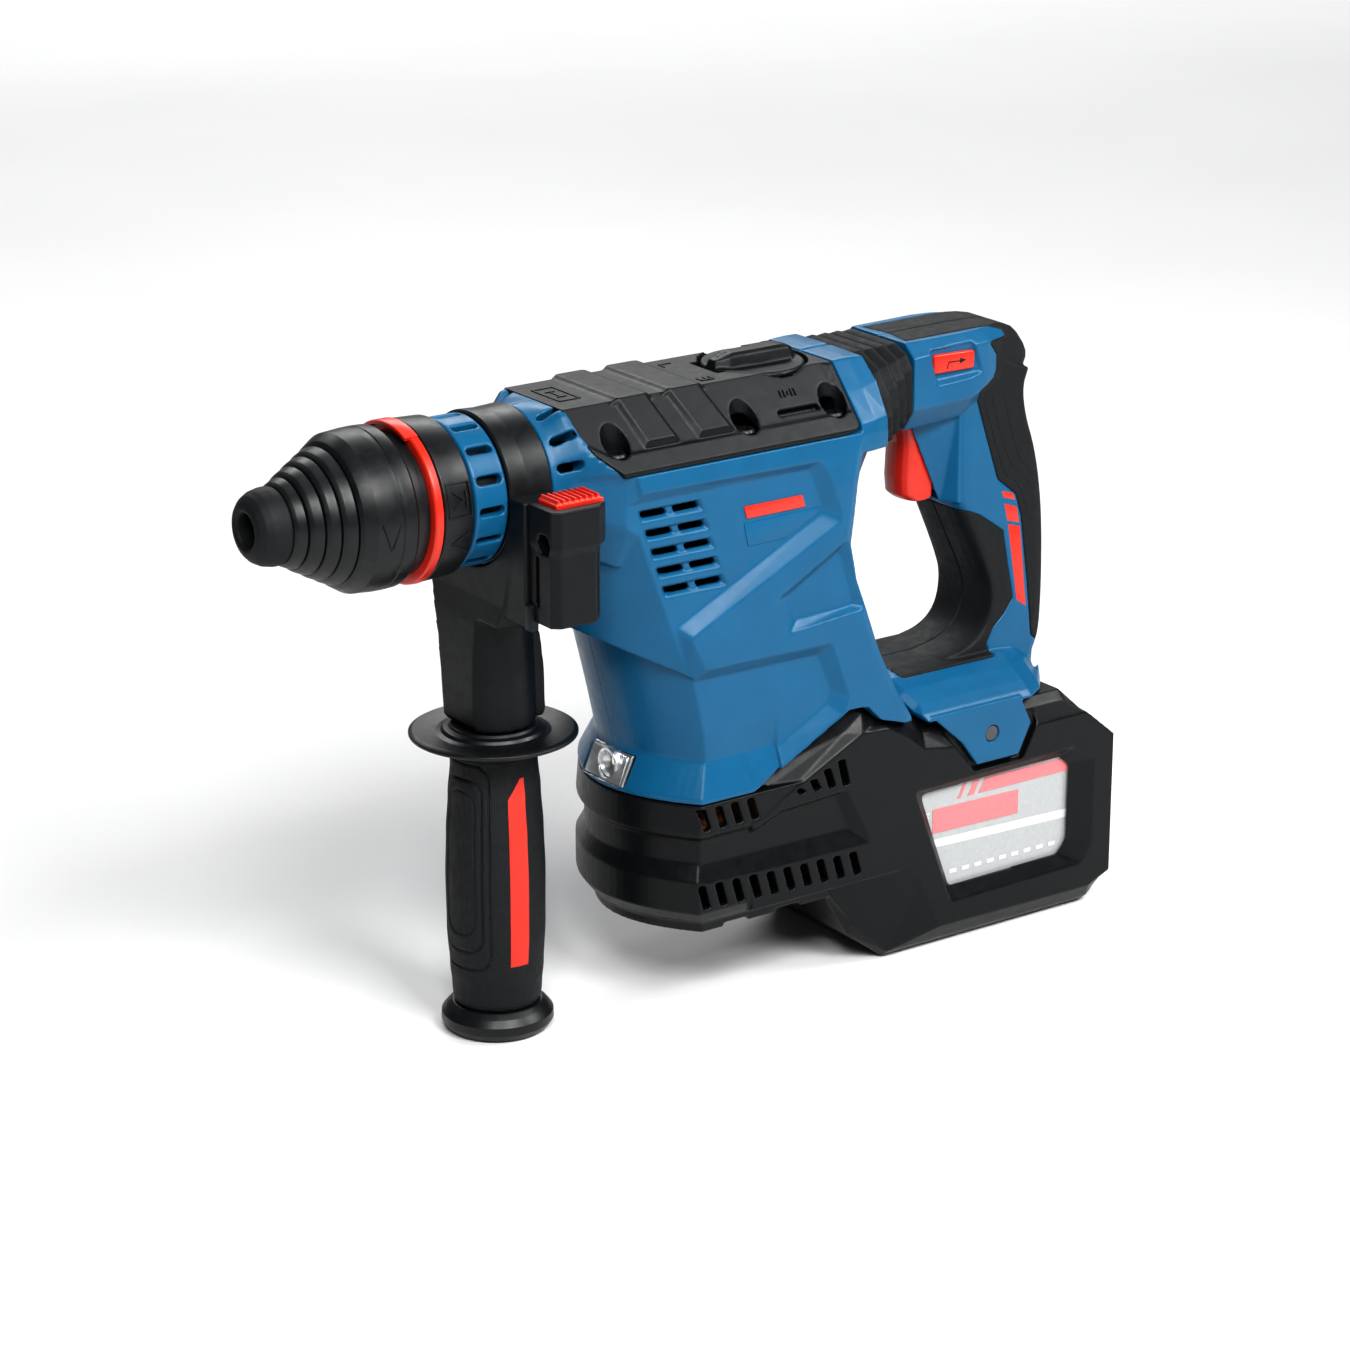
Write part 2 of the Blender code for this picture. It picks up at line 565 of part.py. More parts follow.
def handle_half():
    """Grip, arm and foot of the right half, each closed, to be joined."""
    grip_line = SHELL_REAR_LINE[4:] + [(341.5, -98), (341, -112), (300, -112)] + \
        SHELL_FRONT_LINE[6::-1] + [(300, -38), (298, -6), (296, 6), (300, 20)]
    grip = loft([[(x, y, z) for x, z in grip_line] for y in (SEAM, 13.0)] + [
        [(321 + (x - 321) * 0.86, 16.5, z if z > -100 else z) for x, z in grip_line]])

    def arm_section(x, half, top, bottom):
        shoulder = top - 3.2
        return [(x, SEAM, shoulder), (x, PAD_HALF + GAP, shoulder), (x, PAD_HALF + 2 * GAP, top),
                (x, half, top - 6), (x, half, bottom + 11), (x, half * 0.6, bottom), (x, SEAM, bottom)]

    arm = loft([arm_section(ARM_FRONT, 22, 28.6, -5), arm_section(301, 21.5, 28.8, -5),
                arm_section(318, 17.5, 28.6, -2), arm_section(328, 14.5, 24.5, 4)])
    stub = box(246, 275, SEAM, 16, 3, 20)

    def foot_section(slope):
        heights = [(SEAM, -99.3), (PAD_HALF + GAP, -99.3), (PAD_HALF + 2 * GAP, -97.5), (20, -99.5),
                   (30, -105), (36.5, -110), (39.6, -111.5),
                   (39.6, -113.2), (SEAM, -113.2)]
        return [(slope(z), y, z) for y, z in heights]

    foot = loft([foot_section(lambda z: 256.5 + (-92 - z) * 0.75), foot_section(lambda z: 335.0),
                 [(344.5, y * 0.9 if y > 1 else y, z - 3 if z > -110 else z)
                  for _, y, z in foot_section(lambda z: 344.5)]])
    skirt = prism("Y", 37.3, 39.6, [(x, z if z < -113 else -112) for x, z in SKIRT])
    return grip, [arm, stub, foot, skirt]


def build_handle():
    cuts = [
        box(260, 300.4, -8.4, 8.4, -38.5, 6.5),
        box(290, 317.5, -8.4, 8.4, -37, -1),
        box(282.4, 303.6, -30, 30, 14.6, 24.0),
        rod("Y", 30, 45, PIVOT_X, PIVOT_Z, 3.4, 16),
        rod("Y", -45, -30, PIVOT_X, PIVOT_Z, 3.4, 16),
        box(255, 275, -12, 12, 6, 17),
    ]
    halves = []
    for name, side in (("handle_left", 1), ("handle_right", -1)):
        grip, others = handle_half()
        if side < 0:
            grip, others = mirrored(grip), [mirrored(other) for other in others]
        halves.append(piece(name, blue(), grip, add=others, cut=cuts))
    rear_strip = REAR_LINE + shifted(SHELL_REAR_LINE, GAP, GAP * 0.6)[::-1]
    rear_pad = piece("handle_rear_pad", rubber(), loft([
        [(x, y, z) for x, z in rear_strip] for y in (-PAD_HALF, PAD_HALF)]))
    front_strip = FRONT_LINE + shifted(SHELL_FRONT_LINE, -GAP, GAP)[::-1]
    front_pad = piece("handle_front_pad", rubber(), loft([
        [(x, y, z) for x, z in front_strip] for y in (-PAD_HALF, PAD_HALF)]))
    switch = piece("switch_module", black(), box(300.6, 317, -8.0, 8.0, -36.5, -1.5))
    rock = body("handle", (PIVOT_X, 0, PIVOT_Z), halves + [rear_pad, front_pad, switch])

    face = [(277, 3), (293.5, 6), (293.5, -37), (281, -37), (278, -28), (279.5, -14)]
    trigger = piece("trigger", red(), loft([
        [(x if x > 285 else x + 2.5 * (abs(y) > 5), y, z) for x, z in face]
        for y in (-7.8, -4.5, 4.5, 7.8)]))
    body("trigger", (285, 0, -17), [trigger], rock)
    slider = piece("direction_switch", red(), box(283, 303, -20.5, 20.5, 15.2, 23.4))
    body("direction", (293, 0, 19), [slider], rock)


# ---------------------------------------------------------------- side handle
def bracket_section(z, front, half, reach_x, reach_y):
    arc = [math.radians(a) for a in (120, 90, 60, 30, 0, -30, -60, -90, -120)]
    ring = [(front, -half, z), (front, half, z)]
    ring += [(GRIP_AXIS_X + reach_x * math.cos(a), reach_y * math.sin(a), z) for a in arc]
    return ring


def build_side_handle():
    band = piece("clamp_band", black(), turned("X", 0, 0, [
        (BAND_FRONT, 27.2), (BAND_REAR, 27.2), (BAND_REAR, 24.9), (BAND_FRONT, 24.9)], 32))
    bracket = piece("handle_bracket", black(), loft([
        bracket_section(-12, 89.5, 30, 9.0, 34), bracket_section(-38, 89, 26, 10.0, 30),
        bracket_section(-50, 87, 20, 17.0, 21), bracket_section(-62, 86, 16, 19.7, 19.7),
        bracket_section(-88.4, 86, 13.5, 19.7, 17.5)]), add=[
        box(89.6, 107.4, -37, -27.3, -41.5, 3)], cut=[
        rod("X", 80, 120, 0, 0, 27.6, 32), rod("Z", -95, -30, GRIP_AXIS_X, 0, 4.4, 16),
        rod("Z", -33.4, -20, GRIP_AXIS_X, 0, 7.4, 16)])
    bolt = piece("clamp_bolt", steel(), stacked("Z", GRIP_AXIS_X, 0, [
        (-128, 4.0), (-33, 4.0), (-33, 7.0), (-29.6, 7.0)], 16),
        cut=[rod("X", 80, 120, 0, 0, 27.6, 32)])
    hexagon = circle(-46.5, -9.6, 4.9, 6)
    block = piece("depth_stop_block", black(), loft([
        [(91, -37.3, z), (113, -37.3, z), (113, -50, z), (109, -54, z), (93, -54, z), (91, -52, z)]
        for z in (-39, 3.4)]), cut=[
        box(94.6, 120, -49.0, -30, -2.9, 10),
        prism("X", 80, 120, hexagon)])
    empty = body("side_handle", (GRIP_AXIS_X, 0, 0), [band, bracket, bolt, block])
    button = piece("depth_button", red(), box(95, 114.5, -48.6, -37.4, -0.4, 4.2), add=[
        box(96 + i * 3.1, 97.9 + i * 3.1, -48.2, -37.8, 3.5, 6.0) for i in range(6)])
    body("depth_button", (105, -43, 2), [button], empty)

    core = piece("side_grip_core", black(), turned("Z", GRIP_AXIS_X, 0, [
        (-150, 4.5), (-112, 4.5), (-112, 8.4), (-100, 8.4), (-100, 4.5), (-88.9, 4.5), (-88.9, 20),
        (-90.3, FLANGE_RADIUS - 1), (-92.5, FLANGE_RADIUS), (-94, FLANGE_RADIUS - 2), (-95.5, 17.5),
        (-97, 11), (-196.5, 11), (-198, 17.5), (-200.2, CAP_RADIUS), (-204.2, CAP_RADIUS),
        (-207, 17.5), (-207, 5), (-150.5, 4.5)], 28))
    sleeve = piece("side_grip_sleeve", rubber(), turned("Z", GRIP_AXIS_X, 0, [
        (-97.6, 11.3), (-97.6, 16.0), (-105, 16.3), (-125, 17.4), (-145, 18.2), (-170, 17.8),
        (-190, 17.0), (-196.2, 16.6), (-196.2, 11.3)], 28))
    nut = piece("grip_nut", steel(), prism("Z", -111, -101, circle(GRIP_AXIS_X, 0, 7.8, 6)),
                cut=[rod("Z", -115, -95, GRIP_AXIS_X, 0, 4.3, 16)])
    body("side_grip", (GRIP_AXIS_X, 0, -150), [core, sleeve, nut], empty)


def main():
    for item in list(bpy.data.objects):
        bpy.data.objects.remove(item)
    build_spindle()
    build_drive()
    build_housing()
    build_gearbox()
    build_base()
    build_battery()
    build_handle()
    build_side_handle()


main()
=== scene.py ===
"""Looks of the cordless rotary hammer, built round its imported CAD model.

Lengths are millimetres in the tool's own frame, X back from the nose and Z up from the
spindle axis, as in the part's source. place() turns them into the row frame, in metres.
"""
import math

import bmesh
import bpy
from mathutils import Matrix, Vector


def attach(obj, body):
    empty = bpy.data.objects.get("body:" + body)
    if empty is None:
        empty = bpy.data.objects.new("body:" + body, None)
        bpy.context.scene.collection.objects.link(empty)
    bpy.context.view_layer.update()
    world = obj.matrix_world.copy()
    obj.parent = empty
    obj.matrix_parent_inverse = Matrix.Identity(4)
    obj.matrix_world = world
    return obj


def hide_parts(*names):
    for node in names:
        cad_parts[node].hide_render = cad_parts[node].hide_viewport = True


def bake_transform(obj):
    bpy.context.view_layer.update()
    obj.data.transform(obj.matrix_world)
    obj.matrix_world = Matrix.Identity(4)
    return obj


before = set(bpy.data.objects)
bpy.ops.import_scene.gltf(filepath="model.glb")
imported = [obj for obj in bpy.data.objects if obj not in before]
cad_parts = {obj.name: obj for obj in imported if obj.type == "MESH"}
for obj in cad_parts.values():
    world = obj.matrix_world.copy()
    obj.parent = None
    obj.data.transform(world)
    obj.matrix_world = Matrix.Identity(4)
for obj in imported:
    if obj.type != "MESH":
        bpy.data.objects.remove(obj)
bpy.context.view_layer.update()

NOSE, AXIS = 300.0, 207.0      # nose and spindle axis, from the row frame's origin
GRIP_X = 99.1                  # axis of the side grip
KNOB_X = 214.0
FINE = 0.5                     # voxel of the moulded shells
MOST_TRIANGLES = 150_000       # for one piece


# ------------------------------------------------------------------ shells: (points, faces)
def place(point):
    return ((point[0] - NOSE) * 0.001, point[1] * 0.001, (point[2] + AXIS) * 0.001)


def loft(rings, closed=False):
    count = len(rings[0])
    points = [point for ring in rings for point in ring]
    faces = []
    for i in range(len(rings) if closed else len(rings) - 1):
        a, b = i * count, (i + 1) % len(rings) * count
        faces += [(a + j, a + (j + 1) % count, b + (j + 1) % count, b + j) for j in range(count)]
    if not closed:
        faces += [tuple(range(count)), tuple(range(len(points) - count, len(points)))]
    return points, faces


def on_axis(axis, along, u, v):
    return {"X": (along, u, v), "Y": (u, along, v), "Z": (u, v, along)}[axis]


def prism(axis, low, high, outline):
    return loft([[on_axis(axis, a, u, v) for u, v in outline] for a in (low, high)])


def box(x0, x1, y0, y1, z0, z1):
    return prism("Z", z0, z1, [(x0, y0), (x1, y0), (x1, y1), (x0, y1)])


def circle(cu, cv, radius, count=48, start=0.0):
    turn = 2 * math.pi / count
    return [(cu + radius * math.cos(start + i * turn), cv + radius * math.sin(start + i * turn))
            for i in range(count)]


def rod(axis, low, high, cu, cv, radius, count=48):
    return prism(axis, low, high, circle(cu, cv, radius, count))


def turned(axis, cu, cv, profile, count=128):
    """Closed profile of (along, radius) turned into a ring."""
    return loft([[on_axis(axis, a, u, v) for u, v in circle(cu, cv, max(r, 0.01), count)]
                 for a, r in profile], closed=True)


def rounded(outline, radius, steps=3, closed=True):
    """The outline with each corner turned into a short curve."""
    result, count = [], len(outline)
    for i, point in enumerate(outline):
        if not closed and i in (0, count - 1):
            result.append(tuple(point))
            continue
        here = Vector(point)
        back, on = Vector(outline[i - 1]) - here, Vector(outline[(i + 1) % count]) - here
        half = max(back.angle(on, math.pi) / 2, 0.05)
        size = radius[i] if isinstance(radius, (list, tuple)) else radius
        reach = min(size / math.tan(half) if half < 1.55 else size * 0.02,
                    back.length * 0.49, on.length * 0.49)
        a, b = here + back.normalized() * reach, here + on.normalized() * reach
        for k in range(steps + 1):
            t = k / steps
            result.append(tuple(a * (1 - t) ** 2 + here * 2 * t * (1 - t) + b * t * t))
    return result


def mirrored(shell):
    points, faces = shell
    return [(p[0], -p[1], p[2]) for p in points], faces


def pocket(outer, inner, floor, radius=0.0, rim=40.0, over=46.0):
    """Cutter for a recess in the side at +Y, its walls sloping from outer at rim to inner at floor."""
    if radius:
        outer, inner = rounded(outer, radius), rounded(inner, radius)
    return loft([[(x, over, z) for x, z in outer], [(x, rim, z) for x, z in outer],
                 [(x, floor, z) for x, z in inner]])


# ------------------------------------------------------------------ meshes
def mesh_object(shells):
    points, faces = [], []
    for shell_points, shell_faces in shells:
        base = len(points)
        points += [place(p) for p in shell_points]
        faces += [tuple(base + i for i in face) for face in shell_faces]
    mesh = bpy.data.meshes.new("shape")
    mesh.from_pydata(points, [], faces)
    edit = bmesh.new()
    edit.from_mesh(mesh)
    bmesh.ops.recalc_face_normals(edit, faces=edit.faces)
    bmesh.ops.triangulate(edit, faces=[f for f in edit.faces if len(f.verts) > 3 and not flat(f)])
    edit.to_mesh(mesh)
    edit.free()
    item = bpy.data.objects.new("shape", mesh)
    bpy.context.scene.collection.objects.link(item)
    return item


def flat(face):
    middle = face.calc_center_median()
    return all(abs(face.normal.dot(vert.co - middle)) < 2e-7 for vert in face.verts)


def apply(item):
    depsgraph = bpy.context.evaluated_depsgraph_get()
    mesh = bpy.data.meshes.new_from_object(item.evaluated_get(depsgraph))
    item.modifiers.clear()
    item.data = mesh


def boolean(item, shells, operation):
    for shell in shells:
        tool = mesh_object(shell if isinstance(shell, list) else [shell])
        change = item.modifiers.new("boolean", "BOOLEAN")
        change.operation, change.solver, change.object = operation, "EXACT", tool
        apply(item)
        bpy.data.objects.remove(tool)


def subtract(item, tool):
    change = item.modifiers.new("boolean", "BOOLEAN")
    change.operation, change.solver, change.object = "DIFFERENCE", "EXACT", tool
    apply(item)
    bpy.data.objects.remove(tool)


def solid(shells, add=(), cut=(), keep=()):
    item = mesh_object(shells)
    boolean(item, add, "UNION")
    boolean(item, cut, "DIFFERENCE")
    boolean(item, keep, "INTERSECT")
    return item


def soften(item, voxel=FINE, passes=3):
    """Remesh finely and smooth, so that every edge gets a moulded round."""
    remesh = item.modifiers.new("remesh", "REMESH")
    remesh.mode, remesh.voxel_size = "VOXEL", voxel * 0.001
    smooth = item.modifiers.new("smooth", "SMOOTH")
    smooth.factor, smooth.iterations = 0.5, passes
    apply(item)
    triangles = sum(len(face.vertices) - 2 for face in item.data.polygons)
    if triangles > MOST_TRIANGLES:
        thin = item.modifiers.new("thin", "DECIMATE")
        thin.ratio = MOST_TRIANGLES / triangles
        apply(item)
    item.data.shade_smooth()
    return item


def bevelled(item, width=0.5, segments=3, angle=32.0):
    bevel = item.modifiers.new("bevel", "BEVEL")
    bevel.width, bevel.segments = width * 0.001, segments
    bevel.limit_method, bevel.angle_limit = "ANGLE", math.radians(angle)
    apply(item)
    item.data.shade_smooth()
    item.data.set_sharp_from_angle(angle=math.radians(38))
    return item


def smoothed(item, angle=40.0):
    item.data.shade_smooth()
    item.data.set_sharp_from_angle(angle=math.radians(angle))
    return item


def reflected(item):
    """A copy of the item on the other side of the middle plane."""
    copy = bpy.data.objects.new("shape", item.data.copy())
    bpy.context.scene.collection.objects.link(copy)
    for vert in copy.data.vertices:
        vert.co.y = -vert.co.y
    copy.data.flip_normals()
    return copy


def part(item, name, look, body, slot, *nodes):
    """Name the finished piece, paint it and hang it on its CAD body."""
    item.name = name
    item.data.name = name
    item.data.materials.clear()
    item.data.materials.append(look)
    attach(item, body)
    if nodes:
        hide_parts(*nodes)
    return item


# ------------------------------------------------------------------ materials
class Nodes:
    """Small helper that adds and links shader nodes in one material."""

    def __init__(self, name):
        self.material = bpy.data.materials.new(name)
        self.material.use_nodes = True
        self.tree = self.material.node_tree
        self.shader = self.tree.nodes["Principled BSDF"]
        self.coords = self.tree.nodes.new("ShaderNodeTexCoord").outputs["Object"]

    def link(self, source, target):
        self.tree.links.new(source, target)

    def noise(self, scale, detail=3.0, rough=0.55, stretch=None):
        node = self.tree.nodes.new("ShaderNodeTexNoise")
        node.inputs["Scale"].default_value = scale
        node.inputs["Detail"].default_value = detail
        node.inputs["Roughness"].default_value = rough
        self.link(self.stretched(stretch) if stretch else self.coords, node.inputs["Vector"])
        return node.outputs["Fac"]

    def stretched(self, scale):
        node = self.tree.nodes.new("ShaderNodeMapping")
        node.inputs["Scale"].default_value = scale
        self.link(self.coords, node.inputs["Vector"])
        return node.outputs["Vector"]

    def wave(self, scale, axis, distortion=0.0):
        node = self.tree.nodes.new("ShaderNodeTexWave")
        node.bands_direction = axis
        node.inputs["Scale"].default_value = scale
        node.inputs["Distortion"].default_value = distortion
        self.link(self.coords, node.inputs["Vector"])
        return node.outputs["Fac"]

    def between(self, value, low, high, to_low=0.0, to_high=1.0):
        node = self.tree.nodes.new("ShaderNodeMapRange")
        for name, number in (("From Min", low), ("From Max", high), ("To Min", to_low), ("To Max", to_high)):
            node.inputs[name].default_value = number
        self.link(value, node.inputs["Value"])
        return node.outputs["Result"]

    def mix(self, share, first, second):
        node = self.tree.nodes.new("ShaderNodeMix")
        node.data_type = "RGBA"
        self.link(share, node.inputs["Factor"])
        for socket, value in (("A", first), ("B", second)):
            target = [i for i in node.inputs if i.name == socket and i.type == "RGBA"][0]
            if isinstance(value, tuple):
                target.default_value = (*value, 1.0)
            else:
                self.link(value, target)
        return [o for o in node.outputs if o.type == "RGBA"][0]

    def bump(self, height, strength, distance, under=None):
        node = self.tree.nodes.new("ShaderNodeBump")
        node.inputs["Strength"].default_value = strength
        node.inputs["Distance"].default_value = distance * 0.001
        self.link(height, node.inputs["Height"])
        if under is not None:
            self.link(under, node.inputs["Normal"])
        return node.outputs["Normal"]

    def worn_edges(self, start=0.53, end=0.60):
        geometry = self.tree.nodes.new("ShaderNodeNewGeometry")
        return self.between(geometry.outputs["Pointiness"], start, end)

    def set(self, **values):
        names = {"colour": "Base Color", "rough": "Roughness", "metallic": "Metallic", "normal": "Normal",
                 "coat": "Coat Weight", "coat_rough": "Coat Roughness", "ior": "IOR",
                 "specular": "Specular IOR Level", "glass": "Transmission Weight",
                 "glow": "Emission Color", "glow_strength": "Emission Strength",
                 "sheen": "Sheen Weight", "anisotropic": "Anisotropic"}
        for key, value in values.items():
            target = self.shader.inputs[names[key]]
            if isinstance(value, bpy.types.NodeSocket):
                self.link(value, target)
            else:
                target.default_value = (*value, 1.0) if isinstance(value, tuple) else value


def tinted(colour, share):
    return tuple(min(1.0, c * share) for c in colour)


def moulded(name, colour, rough, grain=1500.0, depth=0.05, specular=0.5, edge=1.5, rub=0.35):
    """Spark-eroded moulded plastic: fine grain, cloudy tone, polished worn edges."""
    n = Nodes(name)
    cloud = n.between(n.noise(55.0, 4.0), 0.35, 0.65)
    toned = n.mix(cloud, tinted(colour, 0.95), tinted(colour, 1.05))
    speck = n.between(n.noise(2600.0, 2.0), 0.55, 0.80, 0.0, 0.16)
    speckled = n.mix(speck, toned, tinted(colour, edge + 0.5))
    wear = n.between(n.worn_edges(), 0.0, 1.0, 0.0, rub)
    n.set(colour=n.mix(wear, speckled, tinted(colour, edge)), specular=specular,
          rough=n.between(n.noise(240.0, 5.0), 0.3, 0.7, rough - 0.05, rough + 0.06),
          normal=n.bump(n.noise(grain, 4.0, 0.62), 0.55, depth))
    return n.material


def rubbery(name, colour, rough=0.62, knurl=None):
    """Soft over-moulding, with a fine crosshatch where knurl gives its scale."""
    n = Nodes(name)
    dust = n.between(n.noise(120.0, 6.0, 0.7), 0.52, 0.78, 0.0, 0.35)
    base = n.mix(dust, colour, tinted(colour, 2.1))
    normal = n.bump(n.noise(1900.0, 3.0), 0.5, 0.05)
    if knurl:
        ridges = n.bump(n.wave(knurl, "X", 0.0), 0.7, 0.12, normal)
        normal = n.bump(n.wave(knurl, "Z", 0.0), 0.7, 0.12, ridges)
    n.set(colour=base, specular=0.26, normal=normal,
          rough=n.between(n.noise(300.0, 4.0), 0.3, 0.7, rough - 0.05, rough + 0.08))
    return n.material


def metal(name, colour, rough, grain=(900.0, 60.0, 900.0), dark=0.7, depth=0.02):
    """Machined metal with fine tool marks and darker patches."""
    n = Nodes(name)
    marks = n.noise(1.0, 5.0, 0.6, grain)
    stain = n.between(n.noise(160.0, 5.0), 0.4, 0.75)
    n.set(colour=n.mix(stain, colour, tinted(colour, dark)), metallic=1.0,
          rough=n.between(marks, 0.25, 0.75, rough - 0.08, rough + 0.12),
          normal=n.bump(marks, 0.4, depth))
    return n.material


def winding(name):
    n = Nodes(name)
    wires = n.wave(420.0, "Z", 1.4)
    n.set(colour=n.mix(wires, (0.32, 0.10, 0.035), (0.78, 0.36, 0.16)), metallic=0.9,
          rough=n.between(wires, 0.0, 1.0, 0.45, 0.25), normal=n.bump(wires, 0.9, 0.25))
    return n.material


def circuit(name):
    n = Nodes(name)
    tracks = n.between(n.wave(300.0, "Z", 9.0), 0.45, 0.55)
    n.set(colour=n.mix(tracks, (0.012, 0.09, 0.035), (0.03, 0.22, 0.08)), rough=0.35,
          normal=n.bump(tracks, 0.5, 0.05))
    return n.material


def steady(name, colour, rough, **more):
    """A surface with only a faint mottle, for small lit or clear pieces."""
    n = Nodes(name)
    mottle = n.between(n.noise(500.0, 3.0), 0.3, 0.7)
    n.set(colour=n.mix(mottle, tinted(colour, 0.94), tinted(colour, 1.04)),
          rough=n.between(n.noise(800.0, 2.0), 0.3, 0.7, rough * 0.8, rough * 1.25),
          normal=n.bump(n.noise(900.0, 2.0), 0.2, 0.02), **more)
    return n.material


BLUE = (0.0035, 0.080, 0.172)
BLACK = (0.0028, 0.0034, 0.0040)
RED = (0.50, 0.016, 0.004)

LOOKS = {
    "blue": moulded("blue_moulding", BLUE, 0.34, specular=0.27, edge=1.6, rub=0.30),
    "black": moulded("black_moulding", BLACK, 0.35, specular=0.22, edge=3.0, rub=0.5),
    "satin": moulded("satin_black", tinted(BLACK, 1.0), 0.38, grain=900.0, depth=0.015, specular=0.36,
                     edge=3.0, rub=0.4),
    "charcoal": moulded("charcoal_moulding", tinted(BLACK, 1.3), 0.42, specular=0.22, edge=2.6, rub=0.5),
    "rubber": rubbery("soft_rubber", (0.0048, 0.0055, 0.0062)),
    "knurled": rubbery("textured_rubber", (0.0052, 0.0060, 0.0068), 0.58, 420.0),
    "red": moulded("red_moulding", RED, 0.34, grain=900.0, depth=0.02, specular=0.5, edge=1.15, rub=0.3),
    "steel": metal("machined_steel", (0.56, 0.57, 0.58), 0.28),
    "dark_steel": metal("blackened_steel", (0.13, 0.13, 0.14), 0.36, dark=0.6),
    "alloy": metal("cast_alloy", (0.44, 0.45, 0.46), 0.46, (260.0, 260.0, 260.0), 0.82, 0.08),
    "copper": winding("copper_winding"),
    "board": circuit("circuit_board"),
    "mirror": metal("lamp_mirror", (0.80, 0.81, 0.82), 0.34, (300.0, 40.0, 900.0), 0.85, 0.01),
    "lens": steady("clear_lens", (0.98, 0.99, 1.0), 0.03, glass=1.0, ior=1.12),
    "led": steady("lamp_chip", (0.92, 0.86, 0.55), 0.3, glow=(1.0, 0.95, 0.82), glow_strength=0.6),
    "grey": steady("label_grey", (0.36, 0.37, 0.37), 0.36),
    "pale": steady("label_light", (0.60, 0.61, 0.61), 0.36),
    "pink": steady("label_stripe", (0.60, 0.17, 0.18), 0.36),
}
SLOT = {"blue": "blue_shell", "black": "black_shell", "satin": "black_shell", "charcoal": "black_shell",
        "rubber": "soft_grip", "knurled": "soft_grip", "red": "red_accent", "steel": "steel",
        "dark_steel": "dark_steel", "alloy": "cast_alloy", "mirror": "cast_alloy", "lens": "clear_lens",
        "led": "clear_lens", "grey": "battery_shell", "pale": "battery_shell", "pink": "red_accent"}


def made(item, name, look, body, *nodes):
    return part(item, name, LOOKS[look], body, SLOT[look], *nodes)


